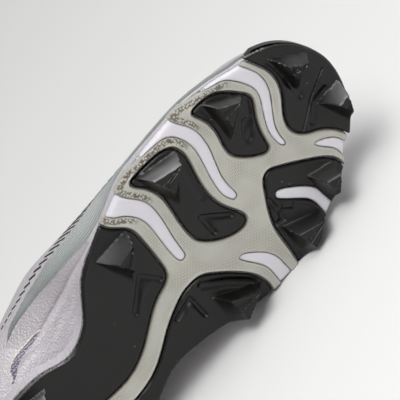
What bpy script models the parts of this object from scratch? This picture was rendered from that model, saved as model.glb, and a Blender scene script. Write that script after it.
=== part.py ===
"""Low baseball cleat for the left foot, lying on its lateral side.

The shoe is modelled upright, with x from heel to toe, y to the lateral side and z up from the
stud tips. The sole is drawn flat in layers and then bent to its toe spring and its raised edge.
At the end the whole shoe is laid over on the sole edge and the side of the upper.
"""
import math

import bmesh
import bpy
import numpy as np
from mathutils import Matrix, Vector

# Driving dimensions in metres
LENGTH = 0.296
BALL_WIDTH = 0.106
HEEL_WIDTH = 0.0715
COLLAR_HEIGHT = 0.086
INSTEP_HEIGHT = 0.094
STUD_HEIGHT = 0.012
PLATE_THICKNESS = 0.0032
POD_THICKNESS = 0.0018
MIDSOLE_HEEL = 0.009
MIDSOLE_TOE = 0.005
TOE_SPRING = 0.013
EDGE_RISE = 0.0025
UPPER_WALL = 0.002
PANEL_STEP = 0.0006
MARGIN_WIDTH = 0.009
FOREFOOT_INSET = 0.0018
BUMPER_THICKNESS = 0.002
BUMPER_HEIGHT = 0.012
TONGUE_THICKNESS = 0.004
TONGUE_RISE = 0.034
INSOLE_THICKNESS = 0.004
LACE_WIDTH = 0.007
LACE_THICKNESS = 0.0014
FINGER_INSET = 0.0004
GAP = 0.0003
POD_GAP = 0.0004
BAR_GAP = 0.0006
CONTACT_FLAT = 0.0005
SPARE = 0.02

# Counts
LACE_BARS = 6
STEPS_PER_ROW = 2
WALL_RINGS = (0.0, 0.06, 0.15, 0.27, 0.40, 0.53, 0.66, 0.79, 0.90, 1.0)

# The share of the ball width that the tables give to the full heel
HEEL_SHARE = 0.675

# Places along of the first and the last lace bar
LACE_ALONG = (0.660, 0.455)

# Edge of the sole seen from below, once round from the back of the heel over the lateral side.
# along is a share of the length, across a share of the width, positive to the lateral side.
EDGE = (
    ("heel_back", 0.000, 0.035),
    ("heel_back_lateral", 0.020, 0.190),
    ("heel_lateral_rear", 0.070, 0.318),
    ("heel_lateral", 0.145, 0.368),
    ("heel_lateral_front", 0.235, 0.378),
    ("waist_lateral_rear", 0.330, 0.335),
    ("waist_lateral", 0.425, 0.268),
    ("waist_lateral_front", 0.500, 0.312),
    ("forewaist_lateral", 0.565, 0.392),
    ("ball_lateral_rear", 0.630, 0.460),
    ("ball_lateral", 0.705, 0.497),
    ("ball_lateral_front", 0.785, 0.477),
    ("toe_lateral_rear", 0.850, 0.433),
    ("toe_lateral_side", 0.910, 0.368),
    ("toe_lateral", 0.955, 0.285),
    ("toe_front_lateral", 0.987, 0.165),
    ("toe_front", 1.000, 0.030),
    ("toe_front_medial", 0.989, -0.110),
    ("toe_medial", 0.963, -0.225),
    ("toe_medial_side", 0.922, -0.315),
    ("toe_medial_rear", 0.868, -0.390),
    ("ball_medial_front", 0.800, -0.460),
    ("ball_medial_middle", 0.730, -0.492),
    ("ball_medial", 0.655, -0.503),
    ("ball_medial_rear", 0.590, -0.478),
    ("forewaist_medial", 0.530, -0.437),
    ("waist_medial_front", 0.465, -0.375),
    ("waist_medial", 0.405, -0.240),
    ("waist_medial_rear", 0.350, -0.205),
    ("waist_medial_heel", 0.295, -0.275),
    ("heel_medial_front", 0.230, -0.310),
    ("heel_medial", 0.140, -0.300),
    ("heel_medial_rear", 0.060, -0.232),
    ("heel_back_medial", 0.015, -0.105),
)

# Sections of the upper at rows of the edge. The rim is the edge of collar and throat. Its rise
# is a share of the collar or instep height. swell and wall place the lower handle of the side
# curve, out from the sole and up. reach and drop place the upper one, out and down from the rim.
# Columns: name, along, across, rise, swell, wall, reach, drop
UPPER = (
    ("heel_back", 0.030, 0.035, 1.000, 0.050, 0.30, 0.090, 0.40),
    ("heel_lateral_rear", 0.070, 0.215, 0.950, 0.050, 0.30, 0.090, 0.40),
    ("heel_lateral_front", 0.200, 0.290, 0.720, 0.070, 0.35, 0.110, 0.35),
    ("waist_lateral_rear", 0.290, 0.285, 0.730, 0.130, 0.22, 0.130, 0.38),
    ("waist_lateral", 0.360, 0.255, 0.840, 0.200, 0.15, 0.160, 0.38),
    ("forewaist_lateral", 0.440, 0.165, 0.980, 0.080, 0.35, 0.210, 0.28),
    ("ball_lateral_rear", 0.515, 0.155, 0.880, 0.050, 0.42, 0.210, 0.20),
    ("ball_lateral", 0.585, 0.145, 0.790, 0.030, 0.50, 0.210, 0.13),
    ("toe_lateral_rear", 0.660, 0.125, 0.700, 0.015, 0.58, 0.230, 0.06),
    ("toe_lateral", 0.693, 0.075, 0.668, 0.000, 0.68, 0.420, 0.05),
    ("toe_front", 0.703, 0.022, 0.655, 0.000, 0.76, 0.500, 0.08),
    ("toe_medial_side", 0.693, -0.030, 0.668, -0.035, 0.52, 0.360, 0.05),
    ("ball_medial_front", 0.650, -0.085, 0.710, -0.085, 0.40, 0.205, 0.08),
    ("ball_medial", 0.560, -0.110, 0.820, -0.085, 0.40, 0.180, 0.16),
    ("forewaist_medial", 0.440, -0.130, 0.980, 0.050, 0.34, 0.215, 0.28),
    ("waist_medial_front", 0.390, -0.225, 0.920, 0.120, 0.28, 0.235, 0.34),
    ("waist_medial", 0.340, -0.275, 0.810, 0.230, 0.14, 0.190, 0.38),
    ("waist_medial_rear", 0.280, -0.285, 0.725, 0.250, 0.13, 0.170, 0.38),
    ("heel_medial_front", 0.195, -0.258, 0.725, 0.110, 0.25, 0.110, 0.35),
    ("heel_medial_rear", 0.065, -0.172, 0.955, 0.050, 0.30, 0.090, 0.40),
)

# Raised quarter panel: the band of the wall that it covers, as shares of the way up to the rim
# Columns: along, low, high
PANEL = (
    (0.08, 0.50, 0.64),
    (0.25, 0.46, 0.68),
    (0.40, 0.40, 0.68),
    (0.55, 0.26, 0.56),
    (0.64, 0.16, 0.36),
)

# Outlines of the black cleat pods, along and across. Points past the sole's edge are cut there.
TOE_POD = (
    (0.924, 0.420), (0.916, 0.290), (0.905, 0.230), (0.893, 0.190), (0.879, 0.157),
    (0.869, 0.113), (0.867, 0.069), (0.873, 0.029), (0.884, -0.005), (0.903, -0.046),
    (0.917, -0.092), (0.924, -0.138), (0.926, -0.189), (0.922, -0.244), (0.910, -0.400),
    (1.050, -0.400), (1.050, 0.420),
)
MEDIAL_FRONT_POD = (
    (0.794, -0.398), (0.814, -0.388), (0.830, -0.370), (0.844, -0.344), (0.856, -0.300),
    (0.864, -0.255), (0.871, -0.218), (0.872, -0.186), (0.865, -0.156), (0.851, -0.122),
    (0.836, -0.066), (0.826, -0.002), (0.822, 0.026), (0.813, 0.028), (0.804, 0.009),
    (0.790, -0.035), (0.780, -0.081), (0.776, -0.118), (0.778, -0.155), (0.785, -0.196),
    (0.793, -0.240), (0.797, -0.292), (0.796, -0.341), (0.793, -0.373),
)
MEDIAL_BALL_POD = (
    (0.641, -0.455), (0.665, -0.448), (0.689, -0.435), (0.709, -0.420), (0.726, -0.392),
    (0.731, -0.360), (0.731, -0.320), (0.724, -0.269), (0.714, -0.215), (0.704, -0.151),
    (0.698, -0.087), (0.697, -0.021), (0.702, 0.037), (0.707, 0.089), (0.705, 0.125),
    (0.696, 0.138), (0.683, 0.134), (0.665, 0.109), (0.647, 0.065), (0.635, 0.022),
    (0.628, -0.021), (0.629, -0.067), (0.635, -0.131), (0.644, -0.200), (0.653, -0.270),
    (0.655, -0.325), (0.650, -0.383), (0.641, -0.425),
)
LATERAL_BALL_POD = (
    (0.780, 0.086), (0.793, 0.090), (0.808, 0.130), (0.823, 0.172), (0.845, 0.239),
    (0.862, 0.295), (0.873, 0.355), (0.869, 0.420), (0.860, 0.520), (0.690, 0.560),
    (0.698, 0.473), (0.706, 0.408), (0.713, 0.333), (0.720, 0.271), (0.736, 0.205),
    (0.756, 0.141), (0.771, 0.098),
)
LATERAL_REAR_POD = (
    (0.600, 0.160), (0.586, 0.110), (0.569, 0.089), (0.544, 0.080), (0.516, 0.093),
    (0.481, 0.120), (0.449, 0.159), (0.420, 0.189), (0.388, 0.205), (0.340, 0.196),
    (0.280, 0.140), (0.220, 0.088), (0.150, 0.062), (0.100, 0.046), (-0.050, 0.042),
    (-0.050, 0.500), (0.500, 0.500), (0.620, 0.520), (0.634, 0.440), (0.637, 0.390),
    (0.635, 0.335), (0.627, 0.279), (0.613, 0.210),
)
MEDIAL_REAR_POD = (
    (0.550, -0.600), (0.556, -0.430), (0.566, -0.385), (0.577, -0.339), (0.579, -0.296),
    (0.573, -0.221), (0.564, -0.123), (0.555, -0.048), (0.540, -0.024), (0.516, -0.019),
    (0.494, -0.003), (0.462, 0.036), (0.426, 0.081), (0.384, 0.105), (0.340, 0.086),
    (0.280, 0.034), (0.220, 0.004), (0.150, 0.014), (0.100, 0.030), (-0.050, 0.034),
    (-0.050, -0.600),
)

# Slots in the plate that the white fingers of the midsole show through
TOE_MEDIAL_FINGER = (
    (0.880, -0.560), (0.905, -0.305), (0.910, -0.251), (0.912, -0.208), (0.907, -0.151),
    (0.895, -0.105), (0.876, -0.057), (0.858, -0.008), (0.849, 0.042), (0.847, 0.080),
    (0.841, 0.095), (0.835, 0.069), (0.839, -0.003), (0.852, -0.059), (0.866, -0.103),
    (0.881, -0.148), (0.887, -0.191), (0.884, -0.248), (0.875, -0.314), (0.867, -0.350),
    (0.844, -0.385), (0.820, -0.421), (0.801, -0.449), (0.787, -0.472), (0.784, -0.600),
)
BALL_MEDIAL_FINGER = (
    (0.770, -0.600), (0.762, -0.472), (0.766, -0.425), (0.773, -0.376), (0.775, -0.316),
    (0.767, -0.238), (0.750, -0.156), (0.738, -0.099), (0.732, -0.038), (0.730, 0.013),
    (0.724, 0.028), (0.717, 0.022), (0.715, 0.006), (0.712, -0.045), (0.722, -0.128),
    (0.735, -0.203), (0.747, -0.274), (0.750, -0.337), (0.747, -0.386), (0.740, -0.424),
    (0.727, -0.447), (0.703, -0.464), (0.677, -0.481), (0.651, -0.499), (0.640, -0.600),
)
WAIST_MEDIAL_FINGER = (
    (0.625, -0.600), (0.612, -0.490), (0.618, -0.428), (0.631, -0.361), (0.632, -0.300),
    (0.624, -0.220), (0.610, -0.126), (0.603, -0.065), (0.599, -0.026), (0.592, -0.014),
    (0.585, -0.020), (0.582, -0.043), (0.586, -0.106), (0.595, -0.190), (0.603, -0.269),
    (0.602, -0.330), (0.591, -0.387), (0.574, -0.429), (0.562, -0.600),
)
TOE_LATERAL_FINGER = (
    (0.869, 0.222), (0.874, 0.214), (0.882, 0.230), (0.892, 0.255), (0.901, 0.288),
    (0.905, 0.330), (0.904, 0.372), (0.902, 0.500), (0.872, 0.500), (0.884, 0.371),
    (0.885, 0.344), (0.884, 0.315), (0.880, 0.290), (0.874, 0.258),
)
BALL_LATERAL_FINGER = (
    (0.762, 0.190), (0.766, 0.181), (0.773, 0.182), (0.785, 0.216), (0.797, 0.258),
    (0.807, 0.300), (0.814, 0.347), (0.812, 0.401), (0.806, 0.560), (0.781, 0.560),
    (0.790, 0.428), (0.793, 0.376), (0.790, 0.338), (0.781, 0.297), (0.767, 0.238),
    (0.760, 0.204),
)
WAIST_LATERAL_FINGER = (
    (0.641, 0.214), (0.646, 0.208), (0.655, 0.219), (0.669, 0.268), (0.680, 0.324),
    (0.683, 0.380), (0.679, 0.438), (0.670, 0.600), (0.640, 0.600), (0.653, 0.428),
    (0.658, 0.370), (0.654, 0.315), (0.645, 0.256),
)
FINGERS = (
    TOE_MEDIAL_FINGER, BALL_MEDIAL_FINGER, WAIST_MEDIAL_FINGER,
    TOE_LATERAL_FINGER, BALL_LATERAL_FINGER, WAIST_LATERAL_FINGER,
)

# Studs and low nubs. Each has a three-cornered tip and foot, as places along and across of the
# inner, front and rear corners. rise is a share of the stud height.
STUD_COLUMNS = ("pod", "tip_inner", "tip_front", "tip_rear", "foot_inner", "foot_front",
                "foot_rear", "rise")
STUDS = (
    ("toe_pod", (0.947, -0.155), (0.972, -0.067), (0.940, -0.070),
     (0.936, -0.224), (0.988, -0.062), (0.925, 0.010), 1.00),
    ("toe_pod", (0.946, 0.180), (0.974, 0.190), (0.954, 0.280),
     (0.926, 0.120), (0.983, 0.150), (0.936, 0.330), 1.00),
    ("medial_front_pod", (0.825, -0.360), (0.854, -0.270), (0.813, -0.235),
     (0.812, -0.385), (0.872, -0.234), (0.792, -0.150), 1.00),
    ("medial_front_pod", (0.832, -0.122), (0.834, -0.108), (0.820, -0.112),
     (0.828, -0.170), (0.852, -0.105), (0.802, -0.060), 0.14),
    ("medial_ball_pod", (0.665, -0.412), (0.714, -0.348), (0.672, -0.290),
     (0.650, -0.450), (0.730, -0.365), (0.655, -0.170), 1.00),
    ("medial_ball_pod", (0.668, 0.000), (0.668, 0.020), (0.656, 0.012),
     (0.670, -0.060), (0.690, 0.050), (0.638, 0.030), 0.14),
    ("lateral_ball_pod", (0.829, 0.325), (0.859, 0.371), (0.829, 0.438),
     (0.818, 0.265), (0.872, 0.345), (0.806, 0.465), 1.00),
    ("lateral_ball_pod", (0.731, 0.350), (0.776, 0.425), (0.732, 0.482),
     (0.727, 0.300), (0.795, 0.440), (0.700, 0.495), 1.00),
    ("lateral_ball_pod", (0.748, 0.220), (0.758, 0.240), (0.742, 0.250),
     (0.742, 0.190), (0.768, 0.230), (0.728, 0.275), 0.14),
    ("lateral_rear_pod", (0.578, 0.240), (0.618, 0.352), (0.570, 0.388),
     (0.560, 0.205), (0.635, 0.385), (0.535, 0.400), 1.00),
    ("lateral_rear_pod", (0.530, 0.135), (0.538, 0.155), (0.520, 0.160),
     (0.528, 0.095), (0.556, 0.155), (0.500, 0.195), 0.14),
    ("lateral_rear_pod", (0.222, 0.200), (0.262, 0.270), (0.222, 0.320),
     (0.205, 0.140), (0.290, 0.285), (0.192, 0.375), 1.00),
    ("lateral_rear_pod", (0.066, 0.140), (0.104, 0.200), (0.066, 0.245),
     (0.046, 0.090), (0.130, 0.215), (0.040, 0.290), 1.00),
    ("medial_rear_pod", (0.520, -0.315), (0.562, -0.315), (0.530, -0.235),
     (0.500, -0.375), (0.578, -0.345), (0.505, -0.150), 1.00),
    ("medial_rear_pod", (0.508, -0.110), (0.518, -0.090), (0.500, -0.085),
     (0.508, -0.155), (0.536, -0.085), (0.476, -0.050), 0.14),
    ("medial_rear_pod", (0.218, -0.250), (0.262, -0.205), (0.222, -0.130),
     (0.190, -0.300), (0.288, -0.220), (0.200, -0.070), 1.00),
    ("medial_rear_pod", (0.062, -0.170), (0.102, -0.130), (0.066, -0.065),
     (0.040, -0.210), (0.128, -0.145), (0.045, -0.015), 1.00),
)

# How a stud widens from tip to foot: share of the drop from the pod, share of the way to the tip
STUD_PROFILE = ((-0.06, 0.0), (0.0, 0.0), (0.14, 0.42), (0.45, 0.76), (0.94, 0.97), (1.0, 1.10))
STUD_CORNERS = ("inner", "front", "rear")
CORNER_CUT = 0.14

# Colours as linear red, green and blue, with roughness and density in kilograms a cubic metre
FINISHES = (
    ("grey_plate_rubber", (0.46, 0.46, 0.41), 0.60, 1150),
    ("black_cleat_rubber", (0.020, 0.018, 0.017), 0.40, 1200),
    ("white_foam", (0.66, 0.64, 0.69), 0.55, 180),
    ("white_upper", (0.66, 0.63, 0.66), 0.50, 700),
    ("grey_tongue", (0.45, 0.44, 0.46), 0.80, 250),
    ("insole_fabric", (0.12, 0.12, 0.13), 0.85, 200),
    ("white_lace", (0.62, 0.61, 0.63), 0.80, 600),
)

SHOE_COLLECTION = "baseball_cleat"


def smooth(value):
    """Ease a number from 0 to 1 with flat ends."""
    value = min(max(value, 0.0), 1.0)
    return value * value * (3.0 - 2.0 * value)


def ruler(share):
    """Width that a share across is taken of, from the heel to the ball."""
    blend = smooth((share - 0.20) / 0.30)
    return (1.0 - blend) * HEEL_WIDTH / HEEL_SHARE + blend * BALL_WIDTH


def place(share, across):
    """Plan position in metres of a share along and a share across."""
    return share * LENGTH, across * ruler(share)


def lift(x, y):
    """How far the sole is bent up at a place, by toe spring and raised edge."""
    spring = max(0.0, (x / LENGTH - 0.64) / 0.36)
    edge = max(0.0, (abs(y) / BALL_WIDTH - 0.28) / 0.22)
    return TOE_SPRING * spring ** 2 + EDGE_RISE * edge ** 2


def foam_depth(x):
    """Thickness of the midsole, which thins from the heel to the ball."""
    return MIDSOLE_HEEL + (MIDSOLE_TOE - MIDSOLE_HEEL) * smooth((x / LENGTH - 0.22) / 0.36)


def plate_top():
    return STUD_HEIGHT + PLATE_THICKNESS


def foam_base():
    return plate_top() + GAP


def deck(x, y):
    """Height of the midsole's upper face."""
    return foam_base() + foam_depth(x) + lift(x, y)


def collar_or_instep(share):
    """Named height that a rim's rise is a share of."""
    blend = smooth((share - 0.25) / 0.17)
    return (1.0 - blend) * COLLAR_HEIGHT + blend * INSTEP_HEIGHT


def round_curve(rows, position):
    """Point on the closed smooth curve through table rows, at a row number with its part."""
    count = len(rows)
    base = int(math.floor(position))
    part = position - base
    before, start, end, after = (rows[(base + step) % count] for step in (-1, 0, 1, 2))
    return 0.5 * (2.0 * start + (end - before) * part
                  + (2.0 * before - 5.0 * start + 4.0 * end - after) * part ** 2
                  + (3.0 * start - before - 3.0 * end + after) * part ** 3)


EDGE_NAMES = [row[0] for row in EDGE]
EDGE_SHARES = np.array([row[1:] for row in EDGE])


def spread_upper_rows():
    """Give each row of the edge a section of the upper, eased between the named ones."""
    named = np.array([EDGE_NAMES.index(row[0]) for row in UPPER], dtype=float)
    values = np.array([row[1:] for row in UPPER])
    rows = np.arange(len(EDGE), dtype=float)
    table = np.empty((len(EDGE), values.shape[1]))
    for column in range(values.shape[1]):
        table[:, column] = np.interp(rows, named, values[:, column], period=len(EDGE))
    return 0.6 * table + 0.2 * np.roll(table, 1, axis=0) + 0.2 * np.roll(table, -1, axis=0)


UPPER_ROWS = spread_upper_rows()


def edge_point(position):
    """Plan point of the sole's outer edge."""
    share, across = round_curve(EDGE_SHARES, position)
    return np.array(place(share, across))


def edge_normal(position):
    """Outward direction of the sole's edge in plan."""
    ahead = edge_point(position + 0.15) - edge_point(position - 0.15)
    normal = np.array([-ahead[1], ahead[0]])
    return normal / np.linalg.norm(normal)


def plate_point(position):
    """Edge of the plate, set in at the toe to make room for the bumper."""
    point = edge_point(position)
    inset = (BUMPER_THICKNESS + GAP) * smooth((point[0] / LENGTH - 0.86) / 0.05)
    return point - edge_normal(position) * inset


def forefoot_inset(position):
    """How far midsole and upper are set in behind the plate along the medial forefoot."""
    point = plate_point(position)
    if point[1] > 0.0:
        return 0.0
    share = point[0] / LENGTH
    return FOREFOOT_INSET * smooth((share - 0.50) / 0.08) * smooth((0.915 - share) / 0.05)


def seat_point(position):
    """Edge of midsole and upper."""
    return plate_point(position) - edge_normal(position) * forefoot_inset(position)


def fan_direction(point):
    """Horizontal direction away from the foot's middle line, fanned out at heel and toe."""
    spine = np.array([min(max(point[0], 0.15 * LENGTH), 0.80 * LENGTH), 0.03 * BALL_WIDTH])
    away = point - spine
    return away / np.linalg.norm(away)


def wall_point(position, ring):
    """Outer surface of the upper, from the sole edge at ring 0 to the rim at ring 1."""
    share, across, rise, swell, wall, reach, drop = round_curve(UPPER_ROWS, position)
    seat = seat_point(position)
    foot = np.array([seat[0], seat[1], deck(*seat) + GAP])
    rim = np.array([*place(share, across), STUD_HEIGHT + rise * collar_or_instep(share)])
    out = np.array([*fan_direction(edge_point(position)), 0.0])
    up = np.array([0.0, 0.0, 1.0])
    climb = rim[2] - foot[2]
    low = foot + out * swell * BALL_WIDTH + up * wall * climb
    high = rim + out * reach * BALL_WIDTH - up * drop * climb
    rest = 1.0 - ring
    return (rest ** 3 * foot + 3.0 * rest ** 2 * ring * low
            + 3.0 * rest * ring ** 2 * high + ring ** 3 * rim)


def panel_step(position, ring):
    """Thickness of the quarter panel on the wall, 0 outside it."""
    share = edge_point(position)[0] / LENGTH
    table = np.array(PANEL)
    if share < table[0, 0] or share > table[-1, 0]:
        return 0.0
    low = np.interp(share, table[:, 0], table[:, 1])
    high = np.interp(share, table[:, 0], table[:, 2])
    return PANEL_STEP if low <= ring <= high else 0.0


def grid_normals(grid, closed):
    """Unit normals of a grid of points, rings by stations, pointing out of the shoe."""
    along_ring = np.gradient(grid, axis=0)
    if closed:
        around = (np.roll(grid, -1, axis=1) - np.roll(grid, 1, axis=1)) / 2.0
    else:
        around = np.gradient(grid, axis=1)
    normals = np.cross(around, along_ring)
    return -normals / np.linalg.norm(normals, axis=2, keepdims=True)


def add_object(name, mesh):
    thing = bpy.data.objects.new(name, mesh)
    bpy.data.collections[SHOE_COLLECTION].objects.link(thing)
    return thing


def mesh_object(name, points, faces):
    """Object from points and faces, merged and turned outwards."""
    mesh = bpy.data.meshes.new(name)
    mesh.from_pydata([tuple(point) for point in points], [], faces)
    form = bmesh.new()
    form.from_mesh(mesh)
    bmesh.ops.remove_doubles(form, verts=form.verts, dist=1e-6)
    bmesh.ops.recalc_face_normals(form, faces=form.faces)
    if form.calc_volume(signed=True) < 0.0:
        bmesh.ops.reverse_faces(form, faces=form.faces)
    form.to_mesh(mesh)
    form.free()
    return add_object(name, mesh)


def sandwich(name, outer, inner, closed):
    """Closed shell between two grids of points, closed round the stations or open."""
    rings, stations = outer.shape[:2]
    size = rings * stations
    points = np.concatenate([outer.reshape(-1, 3), inner.reshape(-1, 3)])
    last = stations if closed else stations - 1
    faces = []
    for ring in range(rings - 1):
        for here in range(last):
            there = (here + 1) % stations
            quad = (ring * stations + here, ring * stations + there,
                    (ring + 1) * stations + there, (ring + 1) * stations + here)
            faces.append(quad)
            faces.append(tuple(size + corner for corner in reversed(quad)))
    for ring in (0, rings - 1):
        for here in range(last):
            there = (here + 1) % stations
            first, second = ring * stations + here, ring * stations + there
            faces.append((first, second, size + second, size + first))
    if not closed:
        for here in (0, stations - 1):
            for ring in range(rings - 1):
                first, second = ring * stations + here, (ring + 1) * stations + here
                faces.append((first, second, size + second, size + first))
    return mesh_object(name, points, faces)


def finished_mesh(thing):
    """Mesh of an object with its modifiers or curve settings applied."""
    bpy.context.view_layer.update()
    graph = bpy.context.evaluated_depsgraph_get()
    return bpy.data.meshes.new_from_object(thing.evaluated_get(graph))


def prism(name, points, low, high):
    """Flat outline filled and extruded between two heights."""
    curve = bpy.data.curves.new(name, "CURVE")
    curve.dimensions = "2D"
    curve.fill_mode = "BOTH"
    curve.extrude = (high - low) / 2.0
    line = curve.splines.new("POLY")
    line.points.add(len(points) - 1)
    for spot, (x, y) in zip(line.points, points):
        spot.co = (x, y, 0.0, 1.0)
    line.use_cyclic_u = True
    guide = add_object(name + "_outline", curve)
    guide.location.z = (low + high) / 2.0
    mesh = finished_mesh(guide)
    mesh.transform(guide.matrix_world)
    bpy.data.objects.remove(guide)
    form = bmesh.new()
    form.from_mesh(mesh)
    bmesh.ops.remove_doubles(form, verts=form.verts, dist=1e-6)
    bmesh.ops.recalc_face_normals(form, faces=form.faces)
    form.to_mesh(mesh)
    form.free()
    return add_object(name, mesh)


def combine(target, other, operation):
    """Apply a Boolean to the target and drop the other solid."""
    joiner = target.modifiers.new("join", "BOOLEAN")
    joiner.object = other
    joiner.operation = operation
    joiner.solver = "EXACT"
    mesh = finished_mesh(target)
    target.modifiers.remove(joiner)
    target.data = mesh
    bpy.data.objects.remove(other)


def grow(points, distance):
    """Closed outline moved out by a distance."""
    points = np.array(points)
    after = np.roll(points, -1, axis=0)
    ahead = after - points
    area = 0.5 * np.sum(points[:, 0] * after[:, 1] - after[:, 0] * points[:, 1])
    turn = -1.0 if area < 0.0 else 1.0
    ahead /= np.linalg.norm(ahead, axis=1, keepdims=True)
    normals = turn * np.stack([ahead[:, 1], -ahead[:, 0]], axis=1)
    before = np.roll(normals, 1, axis=0)
    middle = normals + before
    middle /= np.maximum(np.linalg.norm(middle, axis=1, keepdims=True), 1e-9)
    spread = np.maximum(np.sum(middle * normals, axis=1, keepdims=True), 0.5)
    return points + middle * distance / spread


def flat(shares):
    return [place(*share) for share in shares]


def stations():
    return [step / STEPS_PER_ROW for step in range(len(EDGE) * STEPS_PER_ROW)]


def full_outline():
    return [edge_point(position) for position in stations()]


def plate_outline():
    return [plate_point(position) for position in stations()]


def seat_outline():
    return [seat_point(position) for position in stations()]


def bend(thing, follow_foam="none"):
    """Cut a flat layer across in even bands and bend it to the sole's curves."""
    form = bmesh.new()
    form.from_mesh(thing.data)
    bmesh.ops.dissolve_limit(form, angle_limit=math.radians(0.5), verts=form.verts, edges=form.edges)
    cuts = [(Vector((share * LENGTH, 0.0, 0.0)), Vector((1.0, 0.0, 0.0)))
            for share in np.arange(0.26, 0.99, 0.05)]
    cuts += [(Vector((0.0, side * share * BALL_WIDTH, 0.0)), Vector((0.0, 1.0, 0.0)))
             for share in (0.28, 0.36, 0.43) for side in (-1, 1)]
    for spot, normal in cuts:
        everything = form.verts[:] + form.edges[:] + form.faces[:]
        bmesh.ops.bisect_plane(form, geom=everything, plane_co=spot, plane_no=normal, dist=1e-6)
    bmesh.ops.remove_doubles(form, verts=form.verts, dist=2e-5)
    bmesh.ops.dissolve_degenerate(form, edges=form.edges, dist=1e-6)
    bmesh.ops.triangulate(form, faces=form.faces)
    for vertex in form.verts:
        x, y, z = vertex.co
        vertex.co.z += lift(x, y)
        if follow_foam == "all" or (follow_foam == "top" and z > foam_base() + MIDSOLE_TOE / 2.0):
            vertex.co.z += foam_depth(x) - MIDSOLE_TOE
    form.to_mesh(thing.data)
    form.free()


def finger_solid(outline, shrink, low, high):
    return prism("finger", grow(flat(outline), -shrink), low, high)


def make_plate():
    """Grey plate with open slots for the fingers and shallow pockets for the pods."""
    plate = prism("outsole_plate", plate_outline(), STUD_HEIGHT, plate_top())
    for outline in FINGERS:
        combine(plate, finger_solid(outline, 0.0, 0.0, 2.0 * plate_top()), "DIFFERENCE")
    for outline in PODS.values():
        depth = STUD_HEIGHT + POD_THICKNESS + GAP
        pocket = prism("pocket", grow(flat(outline), POD_GAP), 0.0, depth)
        combine(plate, pocket, "DIFFERENCE")
    bend(plate)


def cut_corners(corners):
    """Ring of points that leaves the corners of a polygon off."""
    ring = []
    count = len(corners)
    for here in range(count):
        corner = corners[here]
        ring.append(corner + (corners[here - 1] - corner) * CORNER_CUT)
        ring.append(corner + (corners[(here + 1) % count] - corner) * CORNER_CUT)
    return np.array(ring)


def stud_solid(row):
    """Faceted three-sided blade with hollow flanks, from its foot in the pod to its tip."""
    entry = dict(zip(STUD_COLUMNS, row))
    tip = cut_corners([np.array(place(*entry["tip_" + name])) for name in STUD_CORNERS])
    foot = cut_corners([np.array(place(*entry["foot_" + name])) for name in STUD_CORNERS])
    height = entry["rise"] * STUD_HEIGHT
    points = []
    for drop, blend in STUD_PROFILE:
        ring = foot + (tip - foot) * min(blend, 1.0)
        if blend > 1.0:
            ring = tip.mean(axis=0) + (tip - tip.mean(axis=0)) * (2.0 - blend)
        points += [(x, y, STUD_HEIGHT - drop * height) for x, y in ring]
    sides = len(tip)
    faces = [tuple(range(sides)), tuple(range(len(points) - sides, len(points)))]
    for level in range(len(STUD_PROFILE) - 1):
        for corner in range(sides):
            following = (corner + 1) % sides
            faces.append((level * sides + corner, level * sides + following,
                          (level + 1) * sides + following, (level + 1) * sides + corner))
    return mesh_object("stud", points, faces)


def slab(name, low, high):
    """Block wider than the sole between two heights."""
    block = [(-SPARE, -BALL_WIDTH), (LENGTH + SPARE, -BALL_WIDTH),
             (LENGTH + SPARE, BALL_WIDTH), (-SPARE, BALL_WIDTH)]
    return prism(name, block, low, high)


def make_pod(name, outline):
    """Black pod: a thin slab with its studs, cut to its outline and the sole's edge."""
    pod = slab(name, STUD_HEIGHT, STUD_HEIGHT + POD_THICKNESS)
    for row in STUDS:
        if row[0] == name:
            combine(pod, stud_solid(row), "UNION")
    below = -STUD_HEIGHT
    above = 2.0 * plate_top()
    combine(pod, prism("pod_cut", flat(outline), below, plate_top()), "INTERSECT")
    combine(pod, prism("edge_cut", full_outline(), 2.0 * below, above), "INTERSECT")
    if name == "lateral_ball_pod":
        finger = finger_solid(BALL_LATERAL_FINGER, 0.0, 2.0 * below, above)
        combine(pod, finger, "DIFFERENCE")
    bend(pod)
    return pod


def bumper_positions():
    """Positions round the toe that the bumper covers, from lateral to medial."""
    first = EDGE_NAMES.index("toe_lateral_side") + 0.25
    last = EDGE_NAMES.index("toe_medial_side") - 0.10
    return np.linspace(first, last, 21)


def add_bumper(pod):
    """Wall of the toe pod that stands up round the toe of the upper."""
    places = bumper_positions()
    outer, inner = [], []
    middle = 0.5 * (places[0] + places[-1])
    for position in places:
        seat, normal = seat_point(position), edge_normal(position)
        foot = deck(*seat)
        fade = 1.0 - ((position - middle) / (places[-1] - middle)) ** 2
        top = BUMPER_HEIGHT * (0.15 + 0.85 * fade)
        near = seat + normal * GAP
        far = near + normal * (BUMPER_THICKNESS - GAP / 2.0)
        low = STUD_HEIGHT + POD_THICKNESS - 0.5 * GAP + lift(*seat)
        column_in = [(*near, low - GAP), (*near, foot)]
        column_out = [(*far, low - GAP), (*far, foot)]
        for share in (0.35, 0.70, 1.0):
            ring = ring_at_rise(position, top * share)
            point = wall_point(position, ring)
            tilt = wall_normal(position, ring)
            column_in.append(point + tilt * GAP)
            column_out.append(point + tilt * (GAP + BUMPER_THICKNESS * (1.0 - 0.4 * share)))
        inner.append(column_in)
        outer.append(column_out)
    outside = np.array(outer).transpose(1, 0, 2)
    inside = np.array(inner).transpose(1, 0, 2)
    wall = sandwich("bumper", outside, inside, False)
    combine(pod, wall, "UNION")


def wall_normal(position, ring):
    """Outward direction of the upper's surface at one spot."""
    around = wall_point(position + 0.05, ring) - wall_point(position - 0.05, ring)
    above = wall_point(position, min(ring + 0.02, 1.0))
    upward = above - wall_point(position, max(ring - 0.02, 0.0))
    normal = np.cross(upward, around)
    return normal / np.linalg.norm(normal)


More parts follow.
